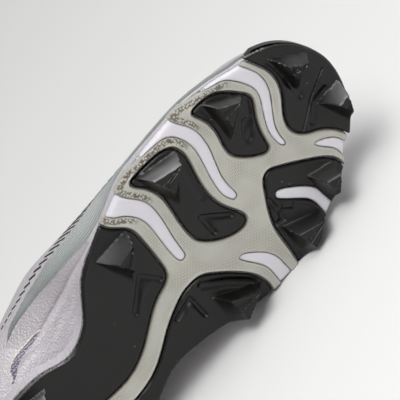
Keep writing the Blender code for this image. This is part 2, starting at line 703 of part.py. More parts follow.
def ring_at_rise(position, rise):
    """Ring of the wall that lies a height above the sole edge."""
    low, high = 0.0, 0.6
    start = wall_point(position, 0.0)[2]
    for _ in range(30):
        middle = 0.5 * (low + high)
        if wall_point(position, middle)[2] - start < rise:
            low = middle
        else:
            high = middle
    return 0.5 * (low + high)


def make_midsole():
    """White foam layer whose fingers stand down through the slots of the plate."""
    foam = prism("midsole", seat_outline(), STUD_HEIGHT + FINGER_INSET, foam_base() + MIDSOLE_TOE)
    below = slab("below_foam", STUD_HEIGHT - SPARE, foam_base())
    for outline in FINGERS:
        hole = finger_solid(outline, GAP, STUD_HEIGHT - 2.0 * SPARE, foam_base() + SPARE)
        combine(below, hole, "DIFFERENCE")
    combine(foam, below, "DIFFERENCE")
    bend(foam, "top")


def make_upper():
    """Hollow upper: side walls, vamp and quarters, with a margin turned in under the foot."""
    places = stations()
    outer = []
    for inset in (1.0, 0.5):
        ring = []
        for position in places:
            seat = seat_point(position) - edge_normal(position) * MARGIN_WIDTH * inset
            ring.append((seat[0], seat[1], deck(*seat) + GAP))
        outer.append(ring)
    for ring in WALL_RINGS:
        outer.append([wall_point(position, ring) for position in places])
    outer = np.array(outer)
    normals = grid_normals(outer, True)
    inner = outer - normals * UPPER_WALL
    step = np.zeros(outer.shape[:2])
    for row, ring in enumerate(WALL_RINGS):
        for column, position in enumerate(places):
            step[row + 2, column] = panel_step(position, ring)
    sandwich("upper", outer + normals * step[:, :, None], inner, True)


def rim_position(share, side):
    """Position round the shoe whose rim lies at a share of the length, on one side."""
    front = float(EDGE_NAMES.index("toe_front"))
    far = float(EDGE_NAMES.index("forewaist_lateral" if side > 0 else "forewaist_medial"))
    low, high = far, front
    for _ in range(40):
        middle = 0.5 * (low + high)
        if round_curve(UPPER_ROWS, middle)[0] < share:
            low = middle
        else:
            high = middle
    return 0.5 * (low + high)


def throat_section(share, rings, sink, crown):
    """Points from the lateral to the medial side across the throat, sunk below the surface."""
    halves = []
    for side in (1, -1):
        position = rim_position(share, side)
        half = []
        for ring in rings:
            half.append(wall_point(position, ring) - wall_normal(position, ring) * sink)
        halves.append(half)
    lateral, medial = halves
    start, end = lateral[-1], medial[-1]
    middle = []
    for part in (0.25, 0.5, 0.75):
        rise = crown * 4.0 * part * (1.0 - part)
        middle.append(start + (end - start) * part + np.array([0.0, 0.0, rise]))
    return np.array(lateral + middle + medial[::-1])


def make_tongue():
    """Padded tongue under the throat, standing up past the top of the instep."""
    sink = UPPER_WALL + 2.0 * GAP
    crown = 0.02 * BALL_WIDTH
    shares = (0.685, 0.655, 0.625, 0.590, 0.555, 0.520, 0.485, 0.450)
    rings = (0.80, 0.88, 0.95, 1.0)
    outer = [throat_section(share, rings, sink, crown) for share in shares]
    inner = [throat_section(share, rings, sink + TONGUE_THICKNESS, crown) for share in shares]
    run = outer[-1].mean(axis=0) - outer[-3].mean(axis=0)
    run /= np.linalg.norm(run)
    lean = np.array([0.0, 0.0, 1.0])
    top_outer, top_inner = outer[-1], inner[-1]
    middle = top_outer.mean(axis=0)
    for reach, tilt, narrow in ((0.20, 0.10, 0.78), (0.60, 0.25, 0.68), (1.0, 0.40, 0.66)):
        shift = (run + lean * tilt) * TONGUE_RISE * reach
        squeeze = np.array([1.0, narrow, 1.0])
        outer.append(middle + (top_outer - middle) * squeeze + shift)
        inner.append(middle + (top_inner - middle) * squeeze + shift)
    sandwich("tongue", np.array(outer), np.array(inner), False)


def make_insole():
    """Insole on the turned-in margin of the upper, clear of its leaning medial wall."""
    outline = [seat_point(position) - edge_normal(position) * 1.3 * forefoot_inset(position)
               for position in stations()]
    outline = grow(outline, -(UPPER_WALL + 7.0 * GAP))
    low = foam_base() + MIDSOLE_TOE + GAP + UPPER_WALL + GAP
    insole = prism("insole", outline, low, low + INSOLE_THICKNESS)
    bend(insole, "all")


def make_lace_bars():
    """Flat bars of the lace across the throat, each from eyestay to eyestay."""
    for bar in range(LACE_BARS):
        share = LACE_ALONG[0] + (LACE_ALONG[1] - LACE_ALONG[0]) * bar / (LACE_BARS - 1)
        sections = []
        for sink in (-(BAR_GAP + LACE_THICKNESS), -BAR_GAP):
            edges = []
            for side in (-0.5, 0.0, 0.5):
                here = share + side * LACE_WIDTH / LENGTH
                edges.append(throat_section(here, (0.90, 0.95, 1.0), sink, 0.03 * BALL_WIDTH))
            sections.append(np.array(edges))
        sandwich("lace_bar_%d" % (bar + 1), sections[0], sections[1], False)


PODS = {
    "toe_pod": TOE_POD,
    "medial_front_pod": MEDIAL_FRONT_POD,
    "medial_ball_pod": MEDIAL_BALL_POD,
    "lateral_ball_pod": LATERAL_BALL_POD,
    "lateral_rear_pod": LATERAL_REAR_POD,
    "medial_rear_pod": MEDIAL_REAR_POD,
}


def finish_of(name):
    if name == "outsole_plate":
        return FINISHES[0]
    if name in PODS:
        return FINISHES[1]
    order = {"midsole": 2, "upper": 3, "tongue": 4, "insole": 5}
    return FINISHES[order.get(name, 6)]


def paint(thing):
    """Give a piece its own material."""
    name, colour, roughness, _ = finish_of(thing.name)
    material = bpy.data.materials.new(name + "_" + thing.name)
    material.use_nodes = True
    shader = material.node_tree.nodes["Principled BSDF"]
    shader.inputs["Base Color"].default_value = (*colour, 1.0)
    shader.inputs["Roughness"].default_value = roughness
    shader.inputs["Metallic"].default_value = 0.0
    thing.data.materials.clear()
    thing.data.materials.append(material)


def balance_point(pieces):
    """Centre of mass of the shoe from its solids and their densities."""
    total, moment = 0.0, Vector((0.0, 0.0, 0.0))
    for thing in pieces:
        density = finish_of(thing.name)[3]
        form = bmesh.new()
        form.from_mesh(thing.data)
        bmesh.ops.triangulate(form, faces=form.faces)
        for face in form.faces:
            a, b, c = (vertex.co for vertex in face.verts)
            volume = a.dot(b.cross(c)) / 6.0
            total += density * volume
            moment += density * volume * (a + b + c) / 4.0
        form.free()
    return moment / total


def resting_plane(pieces):
    """Outermost plane of the lateral side that the shoe lies steadily on."""
    balance = balance_point(pieces)
    form = bmesh.new()
    for thing in pieces:
        for vertex in thing.data.vertices:
            form.verts.new(vertex.co)
    bmesh.ops.convex_hull(form, input=form.verts)
    best, plane = -1.0, None
    for face in form.faces:
        normal = face.normal
        if len(face.verts) != 3 or normal.y < 0.7:
            continue
        corners = [vertex.co.copy() for vertex in face.verts]
        away = (corners[0] - balance).dot(normal)
        foot = balance + normal * away
        inside = min((corners[step] - corners[step - 1]).cross(foot - corners[step - 1]).dot(normal)
                     for step in range(3))
        if inside > 0.0 and normal.y > best:
            best, plane = normal.y, (corners[0], normal.copy())
    form.free()
    return plane


def lay_down(pieces):
    """Lay the shoe on its side, with small flats where sole edge and upper touch the floor."""
    spot, normal = resting_plane(pieces)
    ahead = Vector((1.0, 0.0, 0.0))
    ahead = (ahead - normal * ahead.dot(normal)).normalized()
    up = -normal
    side = up.cross(ahead)
    turn = Matrix((ahead, side, up)).to_4x4()
    level = -spot.dot(up)
    cutter_height = 0.05
    for thing in pieces:
        reach = min(vertex.co.dot(up) for vertex in thing.data.vertices) + level
        if reach < CONTACT_FLAT:
            bpy.ops.mesh.primitive_cube_add(size=1.0)
            block = bpy.context.object
            centre = Vector((LENGTH / 2.0, 0.0, CONTACT_FLAT - level - cutter_height / 2.0))
            size = Matrix.Diagonal((2.0 * LENGTH, 2.0 * LENGTH, cutter_height, 1.0))
            block.matrix_world = turn.inverted() @ Matrix.Translation(centre) @ size
            combine(thing, block, "DIFFERENCE")
    points = [turn @ vertex.co for thing in pieces for vertex in thing.data.vertices]
    low = Vector([min(point[axis] for point in points) for axis in range(3)])
    high = Vector([max(point[axis] for point in points) for axis in range(3)])
    middle = (low + high) / 2.0
    stand = bpy.data.objects.new("lying_pose", None)
    bpy.data.collections[SHOE_COLLECTION].objects.link(stand)
    stand.matrix_world = Matrix.Translation((-middle.x, -middle.y, -low.z)) @ turn
    for thing in pieces:
        thing.parent = stand


def clean(thing):
    """Merge stray points and leave the piece as plain triangles."""
    form = bmesh.new()
    form.from_mesh(thing.data)
    bmesh.ops.remove_doubles(form, verts=form.verts, dist=1e-6)
    bmesh.ops.dissolve_degenerate(form, edges=form.edges, dist=1e-6)
    bmesh.ops.triangulate(form, faces=form.faces)
    form.to_mesh(thing.data)
    form.free()


def build():
    for thing in list(bpy.data.objects):
        bpy.data.objects.remove(thing)
    collection = bpy.data.collections.new(SHOE_COLLECTION)
    bpy.context.scene.collection.children.link(collection)
    make_plate()
    for name, outline in PODS.items():
        pod = make_pod(name, outline)
        if name == "toe_pod":
            add_bumper(pod)
    make_midsole()
    make_upper()
    make_tongue()
    make_insole()
    make_lace_bars()
    pieces = [thing for thing in collection.objects if thing.type == "MESH"]
    lay_down(pieces)
    for thing in pieces:
        clean(thing)
        paint(thing)


build()
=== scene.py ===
import math

import bmesh
import bpy
import numpy as np
from mathutils import Matrix, Vector


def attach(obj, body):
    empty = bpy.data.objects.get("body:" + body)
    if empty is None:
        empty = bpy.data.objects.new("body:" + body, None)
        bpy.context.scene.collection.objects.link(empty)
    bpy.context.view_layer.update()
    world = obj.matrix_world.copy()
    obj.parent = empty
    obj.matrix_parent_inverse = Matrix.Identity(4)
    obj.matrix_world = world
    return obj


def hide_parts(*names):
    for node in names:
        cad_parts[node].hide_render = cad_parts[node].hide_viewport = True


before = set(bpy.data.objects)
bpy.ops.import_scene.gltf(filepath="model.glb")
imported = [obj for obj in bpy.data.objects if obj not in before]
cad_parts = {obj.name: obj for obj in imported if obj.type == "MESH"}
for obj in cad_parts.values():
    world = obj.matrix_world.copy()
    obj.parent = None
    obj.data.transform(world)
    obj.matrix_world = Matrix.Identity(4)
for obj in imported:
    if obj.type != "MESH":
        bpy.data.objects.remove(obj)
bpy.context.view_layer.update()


# How the shoe lies
# A low baseball cleat for the left foot, on its lateral side. It is described upright, with x from
# heel to toe, y to the lateral side and z up from the stud tips, and then laid over. Places along
# are shares of the length, places across are shares of the width.
LENGTH = 0.296
BALL_WIDTH = 0.106
HEEL_WIDTH = 0.0715
HEEL_SHARE = 0.675
LEAN_ALONG = math.radians(3.89354)
LEAN_UNDER = math.radians(1.66084)
HEEL_ON_FLOOR = Vector((-0.146918, -0.06158, 0.037439))
MM = 0.001

floor_up = Vector((math.sin(LEAN_ALONG), -math.cos(LEAN_ALONG) * math.cos(LEAN_UNDER),
                   math.cos(LEAN_ALONG) * math.sin(LEAN_UNDER)))
shoe_ahead = Vector((1.0, 0.0, 0.0))
forward = (shoe_ahead - floor_up * shoe_ahead.dot(floor_up)).normalized()
lying = Matrix((forward, floor_up.cross(forward), floor_up)).to_4x4()
lying = Matrix.Translation(HEEL_ON_FLOOR) @ lying


def laid(points):
    """Upright places as they lie on the floor, pressed flat where they touch it."""
    points = points @ np.array(lying.to_3x3()).T + np.array(lying.translation)
    points[:, 2] = np.maximum(points[:, 2], 0.0)
    return points


def smooth(value):
    """Ease from 0 to 1 with flat ends."""
    value = np.clip(value, 0.0, 1.0)
    return value * value * (3.0 - 2.0 * value)


def ruler(share):
    """Width that a share across is taken of, from the heel to the ball."""
    blend = smooth((share - 0.20) / 0.30)
    return (1.0 - blend) * HEEL_WIDTH / HEEL_SHARE + blend * BALL_WIDTH


def place(share, across):
    return np.array([share * LENGTH, across * ruler(share)])


# Camera
# A long lens held below and a little to the medial side of the sole, turned so that the toe points
# up to the right. The frame takes in the sole from the toe to the waist.
VIEW_TILT = math.radians(25.0)
VIEW_ROLL = math.radians(55.0)
VIEW_DISTANCE = 1.8
VIEW_WIDTH = 0.1951
VIEW_CENTRE = (0.685, -0.124, 0.012)
SENSOR = 36.0

toward = Vector((0.0, -math.sin(VIEW_TILT), -math.cos(VIEW_TILT)))
sole_across = Vector((0.0, math.cos(VIEW_TILT), -math.sin(VIEW_TILT)))
right = math.cos(VIEW_ROLL) * shoe_ahead + math.sin(VIEW_ROLL) * sole_across
above = math.sin(VIEW_ROLL) * shoe_ahead - math.cos(VIEW_ROLL) * sole_across
centre = Vector((*place(*VIEW_CENTRE[:2]), VIEW_CENTRE[2]))
held = Matrix((right, above, toward)).transposed().to_4x4()
held.translation = centre + toward * VIEW_DISTANCE

lens = bpy.data.cameras.new("camera")
lens.sensor_width = SENSOR
lens.lens = SENSOR * VIEW_DISTANCE / VIEW_WIDTH
lens.clip_end = 20.0
camera = bpy.data.objects.new("camera", lens)
bpy.context.scene.collection.objects.link(camera)
camera.matrix_world = lying @ held
bpy.context.scene.camera = camera


# Plate
# The grey base of the sole, moulded from rubber in one piece. Slots let the foam fingers through
# and pockets hold the black pods. Its face has short staggered grooves, knurled bands at the
# medial edge and a thin lip round each pocket.
STUD_HEIGHT = 0.012
PLATE_THICKNESS = 0.0032
POD_THICKNESS = 0.0018
TOE_SPRING = 0.013
EDGE_RISE = 0.0025
GAP = 0.0003
POD_GAP = 0.0004
BUMPER_THICKNESS = 0.002
MESH_STEP = 0.0005

EDGE = (
    ("heel_back", 0.000, 0.035),
    ("heel_back_lateral", 0.020, 0.190),
    ("heel_lateral_rear", 0.070, 0.318),
    ("heel_lateral", 0.145, 0.368),
    ("heel_lateral_front", 0.235, 0.378),
    ("waist_lateral_rear", 0.330, 0.335),
    ("waist_lateral", 0.425, 0.268),
    ("waist_lateral_front", 0.500, 0.312),
    ("forewaist_lateral", 0.565, 0.392),
    ("ball_lateral_rear", 0.630, 0.460),
    ("ball_lateral", 0.705, 0.497),
    ("ball_lateral_front", 0.785, 0.477),
    ("toe_lateral_rear", 0.850, 0.433),
    ("toe_lateral_side", 0.910, 0.368),
    ("toe_lateral", 0.955, 0.285),
    ("toe_front_lateral", 0.987, 0.165),
    ("toe_front", 1.000, 0.030),
    ("toe_front_medial", 0.989, -0.110),
    ("toe_medial", 0.963, -0.225),
    ("toe_medial_side", 0.922, -0.315),
    ("toe_medial_rear", 0.868, -0.390),
    ("ball_medial_front", 0.800, -0.460),
    ("ball_medial_middle", 0.730, -0.492),
    ("ball_medial", 0.655, -0.503),
    ("ball_medial_rear", 0.590, -0.478),
    ("forewaist_medial", 0.530, -0.437),
    ("waist_medial_front", 0.465, -0.375),
    ("waist_medial", 0.405, -0.240),
    ("waist_medial_rear", 0.350, -0.205),
    ("waist_medial_heel", 0.295, -0.275),
    ("heel_medial_front", 0.230, -0.310),
    ("heel_medial", 0.140, -0.300),
    ("heel_medial_rear", 0.060, -0.232),
    ("heel_back_medial", 0.015, -0.105),
)

TOE_POD = (
    (0.924, 0.420), (0.916, 0.290), (0.905, 0.230), (0.893, 0.190), (0.879, 0.157),
    (0.869, 0.113), (0.867, 0.069), (0.873, 0.029), (0.884, -0.005), (0.903, -0.046),
    (0.917, -0.092), (0.924, -0.138), (0.926, -0.189), (0.922, -0.244), (0.910, -0.400),
    (1.050, -0.400), (1.050, 0.420),
)
MEDIAL_FRONT_POD = (
    (0.794, -0.398), (0.814, -0.388), (0.830, -0.370), (0.844, -0.344), (0.856, -0.300),
    (0.864, -0.255), (0.871, -0.218), (0.872, -0.186), (0.865, -0.156), (0.851, -0.122),
    (0.836, -0.066), (0.826, -0.002), (0.822, 0.026), (0.813, 0.028), (0.804, 0.009),
    (0.790, -0.035), (0.780, -0.081), (0.776, -0.118), (0.778, -0.155), (0.785, -0.196),
    (0.793, -0.240), (0.797, -0.292), (0.796, -0.341), (0.793, -0.373),
)
MEDIAL_BALL_POD = (
    (0.641, -0.455), (0.665, -0.448), (0.689, -0.435), (0.709, -0.420), (0.726, -0.392),
    (0.731, -0.360), (0.731, -0.320), (0.724, -0.269), (0.714, -0.215), (0.704, -0.151),
    (0.698, -0.087), (0.697, -0.021), (0.702, 0.037), (0.707, 0.089), (0.705, 0.125),
    (0.696, 0.138), (0.683, 0.134), (0.665, 0.109), (0.647, 0.065), (0.635, 0.022),
    (0.628, -0.021), (0.629, -0.067), (0.635, -0.131), (0.644, -0.200), (0.653, -0.270),
    (0.655, -0.325), (0.650, -0.383), (0.641, -0.425),
)
LATERAL_BALL_POD = (
    (0.780, 0.086), (0.793, 0.090), (0.808, 0.130), (0.823, 0.172), (0.845, 0.239),
    (0.862, 0.295), (0.873, 0.355), (0.869, 0.420), (0.860, 0.520), (0.690, 0.560),
    (0.698, 0.473), (0.706, 0.408), (0.713, 0.333), (0.720, 0.271), (0.736, 0.205),
    (0.756, 0.141), (0.771, 0.098),
)
LATERAL_REAR_POD = (
    (0.600, 0.160), (0.586, 0.110), (0.569, 0.089), (0.544, 0.080), (0.516, 0.093),
    (0.481, 0.120), (0.449, 0.159), (0.420, 0.189), (0.388, 0.205), (0.340, 0.196),
    (0.280, 0.140), (0.220, 0.088), (0.150, 0.062), (0.100, 0.046), (-0.050, 0.042),
    (-0.050, 0.500), (0.500, 0.500), (0.620, 0.520), (0.634, 0.440), (0.637, 0.390),
    (0.635, 0.335), (0.627, 0.279), (0.613, 0.210),
)
MEDIAL_REAR_POD = (
    (0.550, -0.600), (0.556, -0.430), (0.566, -0.385), (0.577, -0.339), (0.579, -0.296),
    (0.573, -0.221), (0.564, -0.123), (0.555, -0.048), (0.540, -0.024), (0.516, -0.019),
    (0.494, -0.003), (0.462, 0.036), (0.426, 0.081), (0.384, 0.105), (0.340, 0.086),
    (0.280, 0.034), (0.220, 0.004), (0.150, 0.014), (0.100, 0.030), (-0.050, 0.034),
    (-0.050, -0.600),
)

TOE_MEDIAL_FINGER = (
    (0.880, -0.560), (0.905, -0.305), (0.910, -0.251), (0.912, -0.208), (0.907, -0.151),
    (0.895, -0.105), (0.876, -0.057), (0.858, -0.008), (0.849, 0.042), (0.847, 0.080),
    (0.841, 0.095), (0.835, 0.069), (0.839, -0.003), (0.852, -0.059), (0.866, -0.103),
    (0.881, -0.148), (0.887, -0.191), (0.884, -0.248), (0.875, -0.314), (0.867, -0.350),
    (0.844, -0.385), (0.820, -0.421), (0.801, -0.449), (0.787, -0.472), (0.784, -0.600),
)
BALL_MEDIAL_FINGER = (
    (0.770, -0.600), (0.762, -0.472), (0.766, -0.425), (0.773, -0.376), (0.775, -0.316),
    (0.767, -0.238), (0.750, -0.156), (0.738, -0.099), (0.732, -0.038), (0.730, 0.013),
    (0.724, 0.028), (0.717, 0.022), (0.715, 0.006), (0.712, -0.045), (0.722, -0.128),
    (0.735, -0.203), (0.747, -0.274), (0.750, -0.337), (0.747, -0.386), (0.740, -0.424),
    (0.727, -0.447), (0.703, -0.464), (0.677, -0.481), (0.651, -0.499), (0.640, -0.600),
)
WAIST_MEDIAL_FINGER = (
    (0.625, -0.600), (0.612, -0.490), (0.618, -0.428), (0.631, -0.361), (0.632, -0.300),
    (0.624, -0.220), (0.610, -0.126), (0.603, -0.065), (0.599, -0.026), (0.592, -0.014),
    (0.585, -0.020), (0.582, -0.043), (0.586, -0.106), (0.595, -0.190), (0.603, -0.269),
    (0.602, -0.330), (0.591, -0.387), (0.574, -0.429), (0.562, -0.600),
)
TOE_LATERAL_FINGER = (
    (0.869, 0.222), (0.874, 0.214), (0.882, 0.230), (0.892, 0.255), (0.901, 0.288),
    (0.905, 0.330), (0.904, 0.372), (0.902, 0.500), (0.872, 0.500), (0.884, 0.371),
    (0.885, 0.344), (0.884, 0.315), (0.880, 0.290), (0.874, 0.258),
)
BALL_LATERAL_FINGER = (
    (0.762, 0.190), (0.766, 0.181), (0.773, 0.182), (0.785, 0.216), (0.797, 0.258),
    (0.807, 0.300), (0.814, 0.347), (0.812, 0.401), (0.806, 0.560), (0.781, 0.560),
    (0.790, 0.428), (0.793, 0.376), (0.790, 0.338), (0.781, 0.297), (0.767, 0.238),
    (0.760, 0.204),
)
WAIST_LATERAL_FINGER = (
    (0.641, 0.214), (0.646, 0.208), (0.655, 0.219), (0.669, 0.268), (0.680, 0.324),
    (0.683, 0.380), (0.679, 0.438), (0.670, 0.600), (0.640, 0.600), (0.653, 0.428),
    (0.658, 0.370), (0.654, 0.315), (0.645, 0.256),
)
PODS = {
    "toe_pod": TOE_POD,
    "medial_front_pod": MEDIAL_FRONT_POD,
    "medial_ball_pod": MEDIAL_BALL_POD,
    "lateral_ball_pod": LATERAL_BALL_POD,
    "lateral_rear_pod": LATERAL_REAR_POD,
    "medial_rear_pod": MEDIAL_REAR_POD,
}
FINGERS = (TOE_MEDIAL_FINGER, BALL_MEDIAL_FINGER, WAIST_MEDIAL_FINGER,
           TOE_LATERAL_FINGER, BALL_LATERAL_FINGER, WAIST_LATERAL_FINGER)

EDGE_NAMES = [row[0] for row in EDGE]
EDGE_SHARES = np.array([row[1:] for row in EDGE])


def lift(x, y):
    """How far the sole is bent up at a place, by toe spring and raised edge."""
    spring = np.maximum(0.0, (x / LENGTH - 0.64) / 0.36)
    edge = np.maximum(0.0, (np.abs(y) / BALL_WIDTH - 0.28) / 0.22)
    return TOE_SPRING * spring ** 2 + EDGE_RISE * edge ** 2


def round_curve(rows, position):
    """Point on the closed smooth curve through table rows, at a row number with its part."""
    count = len(rows)
    base = int(math.floor(position))
    part = position - base
    before, start, end, after = (rows[(base + step) % count] for step in (-1, 0, 1, 2))
    return 0.5 * (2.0 * start + (end - before) * part
                  + (2.0 * before - 5.0 * start + 4.0 * end - after) * part ** 2
                  + (3.0 * start - before - 3.0 * end + after) * part ** 3)


def edge_point(position):
    return place(*round_curve(EDGE_SHARES, position))


def edge_normal(position):
    """Outward direction of the sole's edge in plan."""
    ahead = edge_point(position + 0.15) - edge_point(position - 0.15)
    normal = np.array([-ahead[1], ahead[0]])
    return normal / np.linalg.norm(normal)


def plate_point(position):
    """Edge of the plate, set in at the toe to make room for the bumper."""
    point = edge_point(position)
    inset = (BUMPER_THICKNESS + GAP) * smooth((point[0] / LENGTH - 0.86) / 0.05)
    return point - edge_normal(position) * inset


def round_off(shares, cuts=2):
    """Closed outline in metres through a table of shares, with its corners cut round."""
    points = np.array([place(*share) for share in shares])
    for _ in range(cuts):
        after = np.roll(points, -1, axis=0)
        points = np.stack([0.75 * points + 0.25 * after, 0.25 * points + 0.75 * after], axis=1)
        points = points.reshape(-1, 2)
    return points


def edge_distance(outline, spots):
    """Distance of spots from a closed outline, negative inside it, and the nearest points."""
    start, end = outline, np.roll(outline, -1, axis=0)
    run = end - start
    run_square = np.maximum((run ** 2).sum(axis=1), 1e-14)
    distance = np.empty(len(spots))
    nearest = np.empty_like(spots)
    for first in range(0, len(spots), 3000):
        block = spots[first:first + 3000, None, :]
        part = np.clip(((block - start) * run).sum(axis=2) / run_square, 0.0, 1.0)
        near = start + part[:, :, None] * run
        square = ((block - near) ** 2).sum(axis=2)
        best = square.argmin(axis=1)
        rows = np.arange(len(best))
        nearest[first:first + 3000] = near[rows, best]
        above_spot = start[:, 1] > block[:, :, 1]
        crossing = above_spot != (end[:, 1] > block[:, :, 1])
        height = np.where(run[:, 1] == 0.0, 1e-12, run[:, 1])
        at = run[:, 0] * (block[:, :, 1] - start[:, 1]) / height + start[:, 0]
        inside = (crossing & (block[:, :, 0] < at)).sum(axis=1) % 2 == 1
        reach = np.sqrt(square[rows, best])
        distance[first:first + 3000] = np.where(inside, -reach, reach)
    return distance, nearest


def local_distance(outline, spots, reach=0.005):
    """edge_distance for the spots near an outline, and a plain large value for the others."""
    low, high = outline.min(axis=0) - reach, outline.max(axis=0) + reach
    near = ((spots > low) & (spots < high)).all(axis=1)
    distance = np.full(len(spots), reach)
    nearest = spots.copy()
    if near.any():
        distance[near], nearest[near] = edge_distance(outline, spots[near])
    return distance, nearest


def common(first, second):
    """Area inside both of two areas, each given as distance and nearest points."""
    outer = second[0] > first[0]
    return np.where(outer, second[0], first[0]), np.where(outer[:, None], second[1], first[1])


def apart(area):
    """The outside of an area."""
    return -area[0], area[1]


def grown(area, spots, by):
    """Area with its border moved out by a distance."""
    distance, nearest = area
    away = (spots - nearest) / np.where(np.abs(distance) < 1e-9, 1.0, distance)[:, None]
    return distance - by, nearest + away * by


def moulded(name, area, relief, marks, back, low, high, step=MESH_STEP):
    """Sheet with moulded relief over an area of the sole, with side walls and a flat back.

    area gives distance and nearest edge points for plan spots. relief gives the height towards
    the stud tips, and marks the named shares for the material, for spots and their distance
    inside. back is the level of the back by place along.
    """
    size = high - low
    counts = [int(round(size[axis] / step)) for axis in range(2)]
    bpy.ops.mesh.primitive_grid_add(x_subdivisions=counts[0], y_subdivisions=counts[1], size=1.0)
    sheet = bpy.context.object
    sheet.name = sheet.data.name = name
    mesh = sheet.data
    flat = np.zeros(len(mesh.vertices) * 3)
    mesh.vertices.foreach_get("co", flat)
    spots = flat.reshape(-1, 3)[:, :2] * size + (low + high) / 2.0
    distance, nearest = area(spots)
    kept = distance < 0.5 * step
    snapped = kept & (distance > -0.5 * step)
    spots[snapped] = nearest[snapped]
    form = bmesh.new()
    form.from_mesh(mesh)
    values = marks(spots[:1], distance[:1])
    layers = [form.verts.layers.float.new(key) for key in ("height", *values)]
    form.verts.ensure_lookup_table()
    for vertex, spot in zip(form.verts, spots):
        vertex.co = (spot[0], spot[1], 0.0)
    spare = [form.verts[index] for index in np.flatnonzero(~kept)]
    bmesh.ops.delete(form, geom=spare, context="VERTS")
    bmesh.ops.remove_doubles(form, verts=form.verts, dist=0.22 * step)
    bmesh.ops.dissolve_degenerate(form, edges=form.edges, dist=0.02 * step)
    lost = [vertex for vertex in form.verts if not vertex.link_faces]
    bmesh.ops.delete(form, geom=lost, context="VERTS")
    spots = np.array([vertex.co[:2] for vertex in form.verts])
    inside = np.maximum(-area(spots)[0], 0.0)
    columns = [relief(spots, inside), *marks(spots, inside).values()]
    for vertex, *row in zip(form.verts, *columns):
        for layer, value in zip(layers, row):
            vertex[layer] = value
    rim = [edge for edge in form.edges if edge.is_boundary]
    grown_rim = bmesh.ops.extrude_edge_only(form, edges=rim)["geom"]
    for item in grown_rim:
        if isinstance(item, bmesh.types.BMVert):
            item.co.z = PLATE_THICKNESS
    base = [item for item in grown_rim if isinstance(item, bmesh.types.BMEdge) and item.is_boundary]
    bmesh.ops.triangle_fill(form, edges=base, use_beauty=False, use_dissolve=False)
    bmesh.ops.recalc_face_normals(form, faces=form.faces)
    form.to_mesh(mesh)
    form.free()
    flat = np.zeros(len(mesh.vertices) * 3)
    mesh.vertices.foreach_get("co", flat)
    points = flat.reshape(-1, 3)
    heights = np.zeros(len(points))
    mesh.attributes["height"].data.foreach_get("value", heights)
    mesh.attributes.remove(mesh.attributes["height"])
    level = np.where(points[:, 2] > 0.5 * PLATE_THICKNESS, back(points[:, 0]), STUD_HEIGHT - heights)
    points[:, 2] = level + lift(points[:, 0], points[:, 1])
    corners = np.zeros(len(mesh.loops), dtype=np.int32)
    mesh.loops.foreach_get("vertex_index", corners)
    plan_map = mesh.uv_layers[0]
    plan_map.name = "plan"
    plan_map.data.foreach_set("uv", points[corners, :2].ravel())
    mesh.vertices.foreach_set("co", laid(points).ravel())
    mesh.update()
    bpy.ops.object.shade_smooth_by_angle(angle=math.radians(38.0))
    return sheet


OUTLINE_STEPS = 6
outline_places = [step / OUTLINE_STEPS for step in range(len(EDGE) * OUTLINE_STEPS)]
plate_outline = np.array([plate_point(place) for place in outline_places])
full_outline = np.array([edge_point(place) for place in outline_places])
finger_outlines = [round_off(shares) for shares in FINGERS]
pod_outlines = {name: round_off(shares) for name, shares in PODS.items()}


def plate_area(spots):
    area = edge_distance(plate_outline, spots)
    for outline in finger_outlines:
        area = common(area, apart(local_distance(outline, spots)))
    for outline in pod_outlines.values():
        area = common(area, apart(grown(local_distance(outline, spots), spots, POD_GAP)))
    return area


def plate_relief(spots, inside):
    """Face with rolled edges at the slots and a thin lip round the pod pockets."""
    pod_gap = np.full(len(spots), 0.005)
    for outline in pod_outlines.values():
        pod_gap = np.minimum(pod_gap, local_distance(outline, spots)[0])
    lip = np.exp(-((pod_gap - 1.5 * MM) / (0.45 * MM)) ** 2)
    roll = 1.0 - np.clip((pod_gap - POD_GAP) / (1.1 * MM), 0.0, 1.0)
    edge = 1.0 - np.clip(inside / (0.7 * MM), 0.0, 1.0)
    return 0.40 * MM * lip - 1.2 * MM * roll ** 2 - 0.35 * MM * edge ** 2


def plate_marks(spots, inside):
    """Painted shade in the corners by the pods and along the slots, the medial knurled band, and the face
    that has the strokes.
    """
    pod_gap = np.full(len(spots), 0.005)
    for outline in pod_outlines.values():
        pod_gap = np.minimum(pod_gap, local_distance(outline, spots)[0])
    rim = -edge_distance(plate_outline, spots)[0]
    for outline in finger_outlines:
        rim = np.minimum(rim, local_distance(outline, spots)[0])
    share = spots[:, 0] / LENGTH
    medial = smooth((-spots[:, 1] / BALL_WIDTH - 0.30) / 0.06) * smooth((share - 0.55) / 0.02)
    # Painted shade: darkest on the sloping wall down into each pod pocket, faint along all the plate's
    # borders
    soil = np.exp(-((pod_gap - POD_GAP) / (0.75 * MM)) ** 2) + 0.25 * np.exp(-(inside / (0.3 * MM)) ** 2)
    knurl = medial * smooth((3.4 * MM - rim) / (0.7 * MM)) * smooth((rim - 0.3 * MM) / (0.4 * MM))
    face = smooth((pod_gap - 1.9 * MM) / (0.6 * MM)) * smooth((inside - 0.6 * MM) / (0.5 * MM))
    return {"soil": np.clip(soil, 0.0, 1.0), "knurl": knurl, "face": face * (1.0 - knurl)}


plan_low, plan_high = full_outline.min(axis=0), full_outline.max(axis=0)
plate = moulded("sole_plate", plate_area, plate_relief, plate_marks,
                lambda x: np.full(len(x), STUD_HEIGHT + PLATE_THICKNESS), plan_low - MM, plan_high + MM)


def hex_colour(text):
    """Linear colour of a screen colour."""
    parts = [int(text[at:at + 2], 16) / 255.0 for at in (1, 3, 5)]
    return tuple(p / 12.92 if p <= 0.04045 else ((p + 0.055) / 1.055) ** 2.4 for p in parts) + (1.0,)


def set_inputs(tree, node, inputs):
    """Set a node's inputs to values, or link them from sockets or nodes' first outputs."""
    for name, source in inputs.items():
        if isinstance(source, bpy.types.Node):
            source = next(output for output in source.outputs if output.enabled)
        if isinstance(source, bpy.types.NodeSocket):
            tree.links.new(source, node.inputs[name])
        else:
            node.inputs[name].default_value = source


